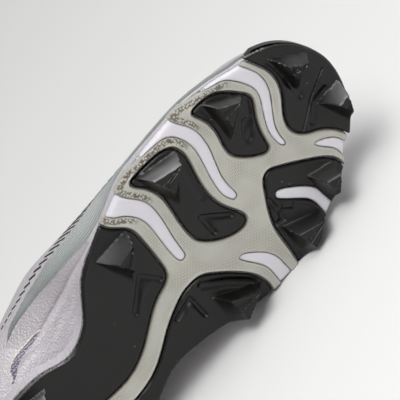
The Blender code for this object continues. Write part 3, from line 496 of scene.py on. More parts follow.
def add_node(tree, kind, inputs=None, **settings):
    """Add a node with its settings and its inputs."""
    node = tree.nodes.new("ShaderNode" + kind)
    for name, value in settings.items():
        setattr(node, name, value)
    set_inputs(tree, node, inputs or {})
    return node


def new_material(name):
    material = bpy.data.materials.new(name)
    material.use_nodes = True
    return material, material.node_tree, material.node_tree.nodes["Principled BSDF"]


# Warm grey rubber straight from the mould: matt, with short staggered grooves 1 mm apart and a coarse
# knurl along the medial edge, both painted darker in their hollows as painted shade, and painted shade in the
# corners by the pods
STROKE_LENGTH = 2.6 * MM
STROKE_PITCH = 1.0 * MM
STROKE_GAP = 0.36 * MM
rubber, tree, shader = new_material("moulded_grey_rubber")
plan = add_node(tree, "UVMap", uv_map="plan")
soil, knurled, face = [add_node(tree, "Attribute", attribute_name=mark).outputs["Fac"]
                       for mark in ("soil", "knurl", "face")]
strokes = add_node(tree, "TexBrick", {
    "Vector": plan, "Scale": 1.0, "Mortar Size": STROKE_GAP, "Mortar Smooth": 0.5,
    "Brick Width": STROKE_LENGTH, "Row Height": STROKE_PITCH}, offset=0.5)
# groove, and pits below, mark hollows that are painted darker as painted shade, besides their bump
groove = add_node(tree, "Math", {0: 1.0, 1: strokes.outputs["Fac"]}, operation="SUBTRACT")
patches = add_node(tree, "TexNoise", {"Vector": plan, "Scale": 70.0, "Detail": 1.0})
worn = add_node(tree, "MapRange", {
    "Value": patches, "From Min": 0.40, "From Max": 0.60, "To Min": 0.25, "To Max": 1.0})
for share in (worn, face):
    groove = add_node(tree, "Math", {0: groove, 1: share}, operation="MULTIPLY")
pebbles = add_node(tree, "TexVoronoi", {"Vector": plan, "Scale": 760.0, "Randomness": 0.6})
pits = add_node(tree, "MapRange", {"Value": pebbles, "From Min": 0.36, "From Max": 0.60})
pits = add_node(tree, "Math", {0: pits, 1: knurled}, operation="MULTIPLY")
groove = add_node(tree, "Math", {0: groove, 1: pits}, operation="ADD")
grain = add_node(tree, "TexNoise", {"Vector": plan, "Scale": 900.0, "Detail": 2.0})
mottle = add_node(tree, "TexNoise", {"Vector": plan, "Scale": 60.0, "Detail": 3.0})
tone = add_node(tree, "Mix", {
    0: mottle, 6: hex_colour("#B9B7AE"), 7: hex_colour("#C6C6BD")}, data_type="RGBA")
# soil mixes in a dark brownish grey as painted shade by the pods and along the borders
for share, colour in ((groove, "#A29D92"), (pits, "#6C665A"), (soil, "#5E564C")):
    tone = add_node(tree, "Mix", {0: share, 6: tone, 7: hex_colour(colour)}, data_type="RGBA")
raised = add_node(tree, "Math", {0: grain, 1: 0.3}, operation="MULTIPLY")
raised = add_node(tree, "Math", {0: raised, 1: groove}, operation="SUBTRACT")
bump = add_node(tree, "Bump", {"Height": raised, "Strength": 0.6, "Distance": 0.2 * MM})
set_inputs(tree, shader, {"Base Color": tone, "Normal": bump, "Roughness": 0.62})
plate.data.materials.append(rubber)
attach(plate, "root")
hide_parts("outsole_plate")


# Pods
# Six black rubber pods moulded with their studs and bonded into the plate's pockets. Each stud is a
# three-cornered blade with hollow flanks and two fine grooves across its tip. The low nubs stand
# behind deep scoops.
NUB_RISE = 0.05
STUD_COLUMNS = ("pod", "tip_inner", "tip_front", "tip_rear", "foot_inner", "foot_front",
                "foot_rear", "rise")
STUDS = (
    ("toe_pod", (0.947, -0.155), (0.972, -0.067), (0.940, -0.070),
     (0.936, -0.224), (0.988, -0.062), (0.925, 0.010), 1.00),
    ("toe_pod", (0.946, 0.180), (0.974, 0.190), (0.954, 0.280),
     (0.926, 0.120), (0.983, 0.150), (0.936, 0.330), 1.00),
    ("medial_front_pod", (0.825, -0.360), (0.854, -0.270), (0.813, -0.235),
     (0.812, -0.385), (0.872, -0.234), (0.792, -0.150), 1.00),
    ("medial_front_pod", (0.832, -0.122), (0.834, -0.108), (0.820, -0.112),
     (0.828, -0.170), (0.852, -0.105), (0.802, -0.060), NUB_RISE),
    ("medial_ball_pod", (0.665, -0.412), (0.714, -0.348), (0.672, -0.290),
     (0.650, -0.450), (0.730, -0.365), (0.655, -0.170), 1.00),
    ("medial_ball_pod", (0.668, 0.000), (0.668, 0.020), (0.656, 0.012),
     (0.670, -0.060), (0.690, 0.050), (0.638, 0.030), NUB_RISE),
    ("lateral_ball_pod", (0.829, 0.325), (0.859, 0.371), (0.829, 0.438),
     (0.818, 0.265), (0.872, 0.345), (0.806, 0.465), 1.00),
    ("lateral_ball_pod", (0.731, 0.350), (0.776, 0.425), (0.732, 0.482),
     (0.727, 0.300), (0.795, 0.440), (0.700, 0.495), 1.00),
    ("lateral_ball_pod", (0.748, 0.220), (0.758, 0.240), (0.742, 0.250),
     (0.742, 0.190), (0.768, 0.230), (0.728, 0.275), NUB_RISE),
    ("lateral_rear_pod", (0.578, 0.240), (0.618, 0.352), (0.570, 0.388),
     (0.560, 0.205), (0.635, 0.385), (0.535, 0.400), 1.00),
    ("lateral_rear_pod", (0.530, 0.135), (0.538, 0.155), (0.520, 0.160),
     (0.528, 0.095), (0.556, 0.155), (0.500, 0.195), NUB_RISE),
    ("lateral_rear_pod", (0.222, 0.200), (0.262, 0.270), (0.222, 0.320),
     (0.205, 0.140), (0.290, 0.285), (0.192, 0.375), 1.00),
    ("lateral_rear_pod", (0.066, 0.140), (0.104, 0.200), (0.066, 0.245),
     (0.046, 0.090), (0.130, 0.215), (0.040, 0.290), 1.00),
    ("medial_rear_pod", (0.520, -0.315), (0.562, -0.315), (0.530, -0.235),
     (0.500, -0.375), (0.578, -0.345), (0.505, -0.150), 1.00),
    ("medial_rear_pod", (0.508, -0.110), (0.518, -0.090), (0.500, -0.085),
     (0.508, -0.155), (0.536, -0.085), (0.476, -0.050), NUB_RISE),
    ("medial_rear_pod", (0.218, -0.250), (0.262, -0.205), (0.222, -0.130),
     (0.190, -0.300), (0.288, -0.220), (0.200, -0.070), 1.00),
    ("medial_rear_pod", (0.062, -0.170), (0.102, -0.130), (0.066, -0.065),
     (0.040, -0.210), (0.128, -0.145), (0.045, -0.015), 1.00),
)
# Scoops in the pods' faces. Columns: pod, places of both ends and the turn between, width, depth
SCOOPS = (
    ("lateral_rear_pod", ((0.501, 0.134), (0.541, 0.126), (0.534, 0.236)), 1.3 * MM, 1.35 * MM),
    ("medial_ball_pod", ((0.694, 0.050), (0.662, -0.066), (0.655, 0.030)), 1.5 * MM, 1.35 * MM),
    ("medial_front_pod", ((0.833, -0.138), (0.823, -0.115), (0.815, -0.092)), 2.7 * MM, 1.45 * MM),
    ("lateral_ball_pod", ((0.751, 0.177), (0.739, 0.291), (0.723, 0.270)), 1.2 * MM, 1.20 * MM),
    ("lateral_ball_pod", ((0.751, 0.254), (0.762, 0.302), (0.772, 0.277)), 0.5 * MM, 0.50 * MM),
    ("lateral_rear_pod", ((0.570, 0.140), (0.600, 0.235), (0.622, 0.330)), 2.2 * MM, 1.30 * MM),
    ("medial_ball_pod", ((0.716, -0.290), (0.706, -0.230), (0.690, -0.120)), 1.8 * MM, 0.80 * MM),
    ("medial_front_pod", ((0.860, -0.230), (0.862, -0.200), (0.848, -0.150)), 1.5 * MM, 0.80 * MM),
    ("toe_pod", ((0.950, -0.110), (0.930, -0.060), (0.922, 0.020)), 2.0 * MM, 1.20 * MM),
    ("toe_pod", ((0.981, 0.054), (0.930, 0.080), (0.878, 0.132)), 0.5 * MM, 0.70 * MM),
    ("toe_pod", ((0.955, 0.120), (0.925, 0.110), (0.900, 0.150)), 1.8 * MM, 0.90 * MM),
    ("medial_rear_pod", ((0.470, -0.060), (0.525, -0.150), (0.540, -0.060)), 1.5 * MM, 1.00 * MM),
)
# How hollow the flank is between inner and front, front and rear, rear and inner corner
FLANK_HOLLOW = (1.15, 1.35, 1.80)
GROOVE_WIDTH = 0.00035
GROOVE_DEPTH = 0.0006
GROOVE_ENDS = (0.40, 0.58)


def line_side(start, end, spots):
    """Distance of spots to the left of a line."""
    run = (end - start) / np.linalg.norm(end - start)
    return run[0] * (spots[:, 1] - start[1]) - run[1] * (spots[:, 0] - start[0])


def line_gap(start, end, spots):
    """Distance of spots from a stretch of line."""
    run = end - start
    part = np.clip(((spots - start) @ run) / (run @ run), 0.0, 1.0)
    return np.linalg.norm(spots - start - part[:, None] * run, axis=1)


def stud_relief(row, spots):
    """Height of one stud over the pod's face."""
    entry = dict(zip(STUD_COLUMNS, row))
    names = ("inner", "front", "rear")
    tip = [place(*entry["tip_" + name]) for name in names]
    foot = [place(*entry["foot_" + name]) for name in names]
    height = np.ones(len(spots))
    for side, hollow in enumerate(FLANK_HOLLOW):
        here, there = side, (side + 1) % 3
        to_foot = line_side(foot[here], foot[there], spots)
        to_tip = line_side(tip[here], tip[there], spots)
        span = np.maximum(to_foot - to_tip, 0.0005)
        height = np.minimum(height, np.clip(to_foot / span, 0.0, 1.0) ** hollow)
    height *= entry["rise"] * STUD_HEIGHT
    if entry["rise"] > 0.5:
        for end in GROOVE_ENDS:
            low = tip[0] + (tip[2] - tip[0]) * end
            high = tip[1] + (low - tip[1]) * 0.08
            groove = np.exp(-(line_gap(high, low, spots) / GROOVE_WIDTH) ** 2)
            height -= GROOVE_DEPTH * groove
    return height


def pod_relief(name):
    def relief(spots, inside):
        face = np.full(len(spots), -0.2 * MM)
        for bead, rise in ((1.3, 0.22), (2.1, 0.14)):
            face += rise * MM * np.exp(-((inside / MM - bead) / 0.35) ** 2)
        for pod, (start, turn, end), width, depth in SCOOPS:
            if pod == name:
                start, turn, end = place(*start), place(*turn), place(*end)
                gap = np.minimum(line_gap(start, turn, spots), line_gap(turn, end, spots))
                face -= depth * np.exp(-(gap / width) ** 4)
        rise = np.zeros(len(spots))
        for row in STUDS:
            if row[0] == name:
                rise = np.maximum(rise, stud_relief(row, spots))
        edge = 1.0 - np.clip(inside / (1.1 * MM), 0.0, 1.0)
        return face + rise - 1.0 * MM * edge ** 2
    return relief


def no_marks(spots, inside):
    return {}


def pod_area(name):
    def area(spots):
        inside = common(local_distance(pod_outlines[name], spots), edge_distance(full_outline, spots))
        if name == "lateral_ball_pod":
            inside = common(inside, apart(local_distance(finger_outlines[4], spots)))
        return inside
    return area


# Black rubber with a satin skin from a polished mould: soft highlights on the flanks, faint smudges,
# and a few white specks of dust
black, tree, shader = new_material("satin_black_rubber")
plan = add_node(tree, "UVMap", uv_map="plan")
grain = add_node(tree, "TexNoise", {"Vector": plan, "Scale": 1300.0, "Detail": 3.0})
smudge = add_node(tree, "TexNoise", {"Vector": plan, "Scale": 90.0, "Detail": 4.0})
tone = add_node(tree, "Mix", {
    0: smudge, 6: hex_colour("#080706"), 7: hex_colour("#12100F")}, data_type="RGBA")
specks = add_node(tree, "TexVoronoi", {"Vector": plan, "Scale": 260.0})
near = add_node(tree, "Math", {0: specks, 1: 0.055}, operation="LESS_THAN")
seldom = add_node(tree, "Math", {0: specks.outputs["Color"], 1: 0.72}, operation="GREATER_THAN")
dust = add_node(tree, "Math", {0: near, 1: seldom}, operation="MULTIPLY")
tone = add_node(tree, "Mix", {0: dust, 6: tone, 7: hex_colour("#A9ACAA")}, data_type="RGBA")
dull = add_node(tree, "MapRange", {
    "Value": smudge, "From Min": 0.3, "From Max": 0.7, "To Min": 0.30, "To Max": 0.44})
bump = add_node(tree, "Bump", {"Height": grain, "Strength": 0.25, "Distance": 0.1 * MM})
set_inputs(tree, shader, {
    "Base Color": tone, "Roughness": dull, "Specular IOR Level": 0.40, "Normal": bump})

for name in PODS:
    outline = pod_outlines[name]
    low = np.maximum(outline.min(axis=0), plan_low) - MM
    high = np.minimum(outline.max(axis=0), plan_high) + MM
    pod = moulded(name + "_rubber", pod_area(name), pod_relief(name), no_marks,
                  lambda x: np.full(len(x), STUD_HEIGHT + POD_THICKNESS), low, high)
    pod.data.materials.append(black)
    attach(pod, "root")
    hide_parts(name)


# Midsole
# White foam moulded with a smooth skin. A slab lies over the plate, and six curved fingers come down
# through the plate's slots to the face of the sole, with rounded outer ends.
MIDSOLE_HEEL = 0.009
MIDSOLE_TOE = 0.005
FOREFOOT_INSET = 0.0018
FINGER_INSET = 0.00022
FINGER_ROUND = 0.003


def foam_base():
    return STUD_HEIGHT + PLATE_THICKNESS + GAP


def foam_depth(x):
    """Thickness of the midsole, which thins from the heel to the ball."""
    return MIDSOLE_HEEL + (MIDSOLE_TOE - MIDSOLE_HEEL) * smooth((x / LENGTH - 0.22) / 0.36)


def deck(x, y):
    """Height of the midsole's upper face."""
    return foam_base() + foam_depth(x) + lift(x, y)


def forefoot_inset(position):
    """How far midsole and upper are set in behind the plate along the medial forefoot."""
    point = plate_point(position)
    if point[1] > 0.0:
        return 0.0
    share = point[0] / LENGTH
    return FOREFOOT_INSET * smooth((share - 0.50) / 0.08) * smooth((0.915 - share) / 0.05)


def seat_point(position):
    """Edge of midsole and upper."""
    return plate_point(position) - edge_normal(position) * forefoot_inset(position)


seat_outline = np.array([seat_point(place) for place in outline_places])


def finger_area(spots):
    distance, nearest = local_distance(finger_outlines[0], spots)
    for outline in finger_outlines[1:]:
        other, spot = local_distance(outline, spots)
        nearest = np.where((other < distance)[:, None], spot, nearest)
        distance = np.minimum(distance, other)
    inset = grown((distance, nearest), spots, -GAP)
    return common(inset, grown(edge_distance(seat_outline, spots), spots, -GAP))


def finger_relief(spots, inside):
    """Smooth fingers with soft edges, rounded over at the sole's edge."""
    outer = np.clip(-edge_distance(seat_outline, spots)[0] / FINGER_ROUND, 0.0, 1.0)
    edge = 1.0 - np.clip(inside / (0.8 * MM), 0.0, 1.0)
    fall = 1.0 - np.sqrt(1.0 - (1.0 - outer) ** 2)
    return -FINGER_INSET - 0.45 * MM * edge ** 2 - 2.2 * MM * fall


def finger_marks(spots, inside):
    """Painted shade along the slots, none at the sole's outer edge."""
    outer = smooth(-edge_distance(seat_outline, spots)[0] / FINGER_ROUND)
    return {"soil": 0.50 * outer * np.exp(-(inside / (0.45 * MM)) ** 2)}


def slab_area(spots):
    return grown(edge_distance(seat_outline, spots), spots, -2.0 * GAP)


def slab_relief(spots, inside):
    return np.full(len(spots), STUD_HEIGHT - foam_base())


# Cool white foam with a closed skin: smooth and slightly translucent, with a faint fine wave left
# by the mould and a little painted shade along the slot edges
foam, tree, shader = new_material("skinned_white_foam")
plan = add_node(tree, "UVMap", uv_map="plan")
wave = add_node(tree, "TexNoise", {"Vector": plan, "Scale": 450.0, "Detail": 2.0})
soil = add_node(tree, "Attribute", attribute_name="soil").outputs["Fac"]
# The foam turns brownish grey along the slot edges as painted shade
tone = add_node(tree, "Mix", {
    0: soil, 6: hex_colour("#DEDBE2"), 7: hex_colour("#8F8980")}, data_type="RGBA")
bump = add_node(tree, "Bump", {"Height": wave, "Strength": 0.25, "Distance": 0.15 * MM})
set_inputs(tree, shader, {
    "Base Color": tone, "Normal": bump, "Roughness": 0.5, "Subsurface Weight": 0.05,
    "Subsurface Scale": 2.0 * MM})

forefoot_low = np.array([0.55 * LENGTH, plan_low[1]])
fingers = moulded("foam_fingers", finger_area, finger_relief, finger_marks,
                  lambda x: np.full(len(x), foam_base() + 0.5 * MM), forefoot_low - MM, plan_high + MM)
slab = moulded("foam_slab", slab_area, slab_relief, no_marks, lambda x: foam_base() + foam_depth(x),
               plan_low - MM, plan_high + MM, 4.0 * MESH_STEP)
for piece in (fingers, slab):
    piece.data.materials.append(foam)
    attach(piece, "root")
    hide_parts("midsole")


# Upper
# One hollow shell of thin coated synthetic leather, lasted over the foam: it wraps the foam's side,
# climbs to a padded collar and stays open along the throat. A pale ribbed strip is welded along the
# medial side, a raised panel along the lateral one, and the main creases are pressed in.
COLLAR_HEIGHT = 0.086
INSTEP_HEIGHT = 0.094
UPPER_WALL = 0.002
MARGIN_WIDTH = 0.009
COLLAR_PADDING = 0.003
STRIP_RISE = 0.0004
PANEL_RISE = 0.0006
EYESTAY_RISE = 0.0005
STATIONS_PER_ROW = 12
WRAP_RING = -0.12
WRAP_STEPS = 7
WALL_STEPS = 84
INNER_STEPS = 30

# Columns: name, along, across, rise, swell, wall, reach, drop
UPPER = (
    ("heel_back", 0.030, 0.035, 1.000, 0.050, 0.30, 0.090, 0.40),
    ("heel_lateral_rear", 0.070, 0.215, 0.950, 0.050, 0.30, 0.090, 0.40),
    ("heel_lateral_front", 0.200, 0.290, 0.720, 0.070, 0.35, 0.110, 0.35),
    ("waist_lateral_rear", 0.290, 0.285, 0.730, 0.130, 0.22, 0.130, 0.38),
    ("waist_lateral", 0.360, 0.255, 0.840, 0.200, 0.15, 0.160, 0.38),
    ("forewaist_lateral", 0.440, 0.165, 0.980, 0.080, 0.35, 0.210, 0.28),
    ("ball_lateral_rear", 0.515, 0.155, 0.880, 0.050, 0.42, 0.210, 0.20),
    ("ball_lateral", 0.585, 0.145, 0.790, 0.030, 0.50, 0.210, 0.13),
    ("toe_lateral_rear", 0.660, 0.125, 0.700, 0.015, 0.58, 0.230, 0.06),
    ("toe_lateral", 0.693, 0.075, 0.668, 0.000, 0.68, 0.420, 0.05),
    ("toe_front", 0.703, 0.022, 0.655, 0.000, 0.76, 0.500, 0.08),
    ("toe_medial_side", 0.693, -0.030, 0.668, -0.035, 0.52, 0.360, 0.05),
    ("ball_medial_front", 0.650, -0.085, 0.710, -0.085, 0.40, 0.205, 0.08),
    ("ball_medial", 0.560, -0.110, 0.820, -0.085, 0.40, 0.180, 0.16),
    ("forewaist_medial", 0.440, -0.130, 0.980, 0.050, 0.34, 0.215, 0.28),
    ("waist_medial_front", 0.390, -0.225, 0.920, 0.120, 0.28, 0.235, 0.34),
    ("waist_medial", 0.340, -0.275, 0.810, 0.230, 0.14, 0.190, 0.38),
    ("waist_medial_rear", 0.280, -0.285, 0.725, 0.250, 0.13, 0.170, 0.38),
    ("heel_medial_front", 0.195, -0.258, 0.725, 0.110, 0.25, 0.110, 0.35),
    ("heel_medial_rear", 0.065, -0.172, 0.955, 0.050, 0.30, 0.090, 0.40),
)

# Lower and upper border of the ribbed strip. Columns: position round the edge, low and high ring
STRIP = (
    (18.4, -0.020, -0.015), (19.2, -0.060, 0.060), (21.0, -0.070, 0.090), (22.6, -0.030, 0.120),
    (23.2, 0.010, 0.180), (23.8, -0.010, 0.270), (24.3, -0.030, 0.255), (24.8, -0.020, 0.240),
    (25.1, 0.000, 0.250), (25.6, 0.070, 0.280), (26.1, 0.160, 0.340), (26.5, 0.270, 0.420),
    (26.8, 0.350, 0.480), (27.3, 0.420, 0.510), (27.7, 0.450, 0.520), (28.4, 0.425, 0.430),
)
# Positions where the strip starts and ends
STRIP_FROM = 18.6
STRIP_TO = 28.3
# The long fold over the arch, which parts fine knit above from grained leather below
FOLD = ((25.2, -0.060), (25.6, 0.000), (26.0, 0.050), (26.4, 0.110), (26.9, 0.190), (27.4, 0.220),
        (28.0, 0.215), (29.0, 0.120), (29.8, 0.000))
# Upper border of the woven insert that starts at the end of the fold
INSERT = ((27.7, 0.225), (28.0, 0.250), (28.4, 0.240), (28.9, 0.200), (29.3, 0.140), (29.6, 0.040))
# Raised quarter panel on the lateral side. Columns: share along, low and high ring
PANEL = ((0.08, 0.50, 0.64), (0.25, 0.46, 0.68), (0.40, 0.40, 0.68), (0.55, 0.26, 0.56), (0.64, 0.16, 0.36))
# Creases and ridges. Columns: places on the wall, width and height in millimetres
CREASES = (
    (((25.5, -0.010), (26.0, 0.050), (26.4, 0.110), (26.9, 0.185), (27.4, 0.215), (28.2, 0.200)), 1.3, -1.2),
    (((25.5, -0.045), (26.1, 0.020), (26.5, 0.075), (27.0, 0.145), (27.5, 0.175), (28.2, 0.160)), 1.8, 0.7),
    (((26.4, 0.030), (26.8, 0.060), (27.2, 0.075)), 0.9, -0.30),
    (((26.7, 0.005), (27.1, 0.040), (27.5, 0.050)), 0.9, -0.30),
    (((27.0, 0.110), (27.4, 0.120), (27.9, 0.100)), 1.2, -0.35),
    (((28.2, 0.150), (28.8, 0.100), (29.5, 0.030)), 1.8, -0.80),
    (((23.9, -0.045), (24.4, -0.055), (25.0, -0.050)), 0.9, -0.25),
    (((21.4, 0.300), (22.0, 0.450), (22.6, 0.620), (22.9, 0.780)), 3.5, -0.70),
    (((20.7, 0.330), (21.2, 0.520), (21.5, 0.720)), 3.0, -0.55),
    (((22.3, 0.330), (22.9, 0.500), (23.4, 0.660)), 2.6, -0.40),
    (((9.4, 0.780), (9.9, 0.560), (10.5, 0.340), (11.0, 0.200)), 3.5, -0.80),
    (((10.6, 0.760), (11.1, 0.560), (11.6, 0.360)), 3.0, -0.60),
    (((8.4, 0.700), (8.8, 0.500), (9.3, 0.320)), 2.6, -0.40),
    (((2.4, 0.860), (3.0, 0.740), (3.9, 0.700)), 3.0, -0.60),
    (((31.0, 0.860), (30.4, 0.740), (29.7, 0.700)), 3.0, -0.60),
    (((5.0, 0.260), (5.7, 0.340), (6.4, 0.300)), 3.0, -0.50),
)


def collar_or_instep(share):
    """Named height that a rim's rise is a share of."""
    blend = smooth((share - 0.25) / 0.17)
    return (1.0 - blend) * COLLAR_HEIGHT + blend * INSTEP_HEIGHT


def spread_upper_rows():
    """Give each row of the edge a section of the upper, eased between the named ones."""
    named = np.array([EDGE_NAMES.index(row[0]) for row in UPPER], dtype=float)
    values = np.array([row[1:] for row in UPPER])
    rows = np.arange(len(EDGE), dtype=float)
    table = np.empty((len(EDGE), values.shape[1]))
    for column in range(values.shape[1]):
        table[:, column] = np.interp(rows, named, values[:, column], period=len(EDGE))
    return 0.6 * table + 0.2 * np.roll(table, 1, axis=0) + 0.2 * np.roll(table, -1, axis=0)


UPPER_ROWS = spread_upper_rows()


def fan_direction(point):
    """Horizontal direction away from the foot's middle line, fanned out at heel and toe."""
    spine = np.array([min(max(point[0], 0.15 * LENGTH), 0.80 * LENGTH), 0.03 * BALL_WIDTH])
    away = point - spine
    return away / np.linalg.norm(away)


def wall_line(position, rings):
    """Points of the wall at one position, from the sole's edge at ring 0 to the rim at ring 1."""
    share, across, rise, swell, wall, reach, drop = round_curve(UPPER_ROWS, position)
    seat = seat_point(position)
    foot = np.array([*seat, deck(*seat) + GAP])
    rim = np.array([*place(share, across), STUD_HEIGHT + rise * collar_or_instep(share)])
    out = np.array([*fan_direction(edge_point(position)), 0.0])
    climb = np.array([0.0, 0.0, rim[2] - foot[2]])
    low = foot + out * swell * BALL_WIDTH + wall * climb
    high = rim + out * reach * BALL_WIDTH - drop * climb
    ring = np.clip(np.atleast_1d(rings), 0.0, 1.0)[:, None]
    rest = 1.0 - ring
    points = (rest ** 3 * foot + 3.0 * rest ** 2 * ring * low
              + 3.0 * rest * ring ** 2 * high + ring ** 3 * rim)
    wrap = np.clip(np.atleast_1d(rings) / WRAP_RING, 0.0, 1.0)
    points[:, 2] -= wrap * (foam_depth(seat[0]) + GAP)
    return points


def wall_point(position, ring):
    return wall_line(position, ring)[0]


def wall_normal(position, ring):
    """Outward direction of the upper's surface at one spot."""
    around = wall_point(position + 0.05, ring) - wall_point(position - 0.05, ring)
    upward = wall_point(position, ring + 0.02) - wall_point(position, min(ring, 0.98) - 0.02)
    normal = np.cross(upward, around)
    return normal / np.linalg.norm(normal)


def sheet_normals(grid):
    """Unit normals of a grid of points, rows going up and columns going round."""
    normals = np.cross(np.gradient(grid, axis=0), np.gradient(grid, axis=1))
    return normals / np.maximum(np.linalg.norm(normals, axis=2, keepdims=True), 1e-12)


def laid_grid(name, points, chart_name, shares):
    """Skin through a grid of points, closed where its borders meet, laid over with the shoe."""
    rows, columns = points.shape[:2]
    bpy.ops.mesh.primitive_grid_add(x_subdivisions=columns - 1, y_subdivisions=rows - 1, size=1.0)
    sheet = bpy.context.object
    sheet.name = sheet.data.name = name
    mesh = sheet.data
    mesh.vertices.foreach_set("co", laid(points.reshape(-1, 3)).ravel())
    corners = np.zeros(len(mesh.loops), dtype=np.int32)
    mesh.loops.foreach_get("vertex_index", corners)
    chart = mesh.uv_layers[0]
    chart.name = chart_name
    chart.data.foreach_set("uv", shares.reshape(-1, 2)[corners].ravel())
    mesh.update()
    bpy.ops.object.mode_set(mode="EDIT")
    bpy.ops.mesh.select_all(action="SELECT")
    bpy.ops.mesh.remove_doubles(threshold=2e-6)
    bpy.ops.mesh.normals_make_consistent(inside=False)
    bpy.ops.object.mode_set(mode="OBJECT")
    bpy.ops.object.shade_smooth_by_angle(angle=math.radians(50.0))
    return sheet


def crease_depth(grid, places_on_wall, width, height):
    """Soft trough or ridge along a line on the wall, fading out at both ends."""
    knots = np.array(places_on_wall)
    parts = np.linspace(0.0, len(knots) - 1.0, 60)
    along = np.interp(parts, np.arange(len(knots)), knots[:, 0])
    rings = np.interp(parts, np.arange(len(knots)), knots[:, 1])
    line = np.array([wall_point(position, ring) for position, ring in zip(along, rings)])
    gaps = np.linalg.norm(grid[:, :, None, :] - line, axis=3)
    nearest = gaps.argmin(axis=2)
    fade = np.sin(np.pi * (nearest + 0.5) / len(line)) ** 0.6
    return height * MM * fade * np.exp(-(gaps.min(axis=2) / (width * MM)) ** 2)


def band(value, low, high, soft):
    """1 between two borders and 0 outside, with soft steps."""
    return smooth((value - low) / soft + 0.5) * smooth((high - value) / soft + 0.5)


places = np.linspace(0.0, len(EDGE), len(EDGE) * STATIONS_PER_ROW + 1)
rings = np.concatenate([np.linspace(WRAP_RING, 0.0, WRAP_STEPS, endpoint=False),
                        np.linspace(0.0, 1.0, WALL_STEPS)])
wall = np.stack([wall_line(position, rings) for position in places], axis=1)
wall_normals = sheet_normals(wall)
wall_normals[:, 0] = wall_normals[:, -1] = 0.5 * (wall_normals[:, 0] + wall_normals[:, -1])
ring_grid = np.repeat(rings[:, None], len(places), axis=1)
place_grid = np.repeat(places[None, :], len(rings), axis=0)
strip_table = np.array(STRIP)
strip_low = np.interp(place_grid, strip_table[:, 0], strip_table[:, 1])
strip_high = np.interp(place_grid, strip_table[:, 0], strip_table[:, 2])
strip_mask = band(ring_grid, strip_low, strip_high, 0.02) * band(place_grid, STRIP_FROM, STRIP_TO, 0.3)
share_grid = np.repeat(np.array([edge_point(position)[0] / LENGTH for position in places])[None, :],
                       len(rings), axis=0)
panel_table = np.array(PANEL)
panel_low = np.interp(share_grid, panel_table[:, 0], panel_table[:, 1])
panel_high = np.interp(share_grid, panel_table[:, 0], panel_table[:, 2])
panel_mask = band(ring_grid, panel_low, panel_high, 0.02) * band(share_grid, 0.08, 0.64, 0.01)
panel_mask = panel_mask * (place_grid < 16.0)
eyestay_mask = band(ring_grid, 0.80, 2.0, 0.02) * band(place_grid, 6.0, 26.0, 0.6)
stand = STRIP_RISE * strip_mask + PANEL_RISE * panel_mask + EYESTAY_RISE * eyestay_mask
for places_on_wall, width, height in CREASES:
    stand = stand + crease_depth(wall, places_on_wall, width, height)
stand = stand * smooth((ring_grid - WRAP_RING) / 0.05)
outer = wall + wall_normals * stand[:, :, None]

inner_rings = np.linspace(1.0, 0.05, INNER_STEPS)
inner_wall = np.stack([wall_line(position, inner_rings) for position in places], axis=1)
inner_normals = -sheet_normals(inner_wall)
inner_normals[:, 0] = inner_normals[:, -1] = 0.5 * (inner_normals[:, 0] + inner_normals[:, -1])
rim_shares = np.array([round_curve(UPPER_ROWS, position)[0] for position in places])
padded = smooth((0.42 - rim_shares) / 0.10)[None, :] * np.exp(-((inner_rings[:, None] - 0.86) / 0.16) ** 2)
inner = inner_wall - inner_normals * (UPPER_WALL + COLLAR_PADDING * padded)[:, :, None]
rim_centre = 0.5 * (outer[-1] + inner[0])
rim_half = 0.5 * (outer[-1] - inner[0])
rim_up = outer[-1] - outer[-2]
rim_up /= np.linalg.norm(rim_up, axis=1, keepdims=True)
rim_size = np.linalg.norm(rim_half, axis=1, keepdims=True)
rim = np.array([rim_centre + rim_half * math.cos(angle) + rim_up * rim_size * math.sin(angle)
                for angle in np.linspace(0.0, math.pi, 8)[1:-1]])


def foot_ring(inset, rise):
    """Ring under the foot, in from the seat and up from the deck."""
    points = []
    for position in places:
        seat = seat_point(position)
        points.append((*(seat - edge_normal(position) * inset), deck(*seat) + GAP + rise))
    return np.array(points)


margin = [foot_ring(1.3 * UPPER_WALL, UPPER_WALL), foot_ring(0.5 * MARGIN_WIDTH, UPPER_WALL),
          foot_ring(MARGIN_WIDTH, UPPER_WALL), foot_ring(MARGIN_WIDTH, 0.0),
          foot_ring(0.5 * MARGIN_WIDTH, 0.0), foot_ring(0.55 * MM, 0.0)]
wrap_inside = wall[0].copy()
wrap_inside[:, :2] = margin[-1][:, :2]
skin = np.concatenate([outer, rim, inner, np.array(margin), wrap_inside[None], outer[:1]])
rim_rows = len(rim) + len(inner) + len(margin) + 2
heights_up = np.concatenate([(rings - WRAP_RING) / (1.0 - WRAP_RING), np.linspace(1.0, 2.0, rim_rows)])
chart = np.stack([np.repeat((places / len(EDGE))[None, :], len(skin), axis=0),
                  np.repeat(heights_up[:, None], len(places), axis=1)], axis=2)
upper = laid_grid("lasted_upper", skin, "wall", chart)

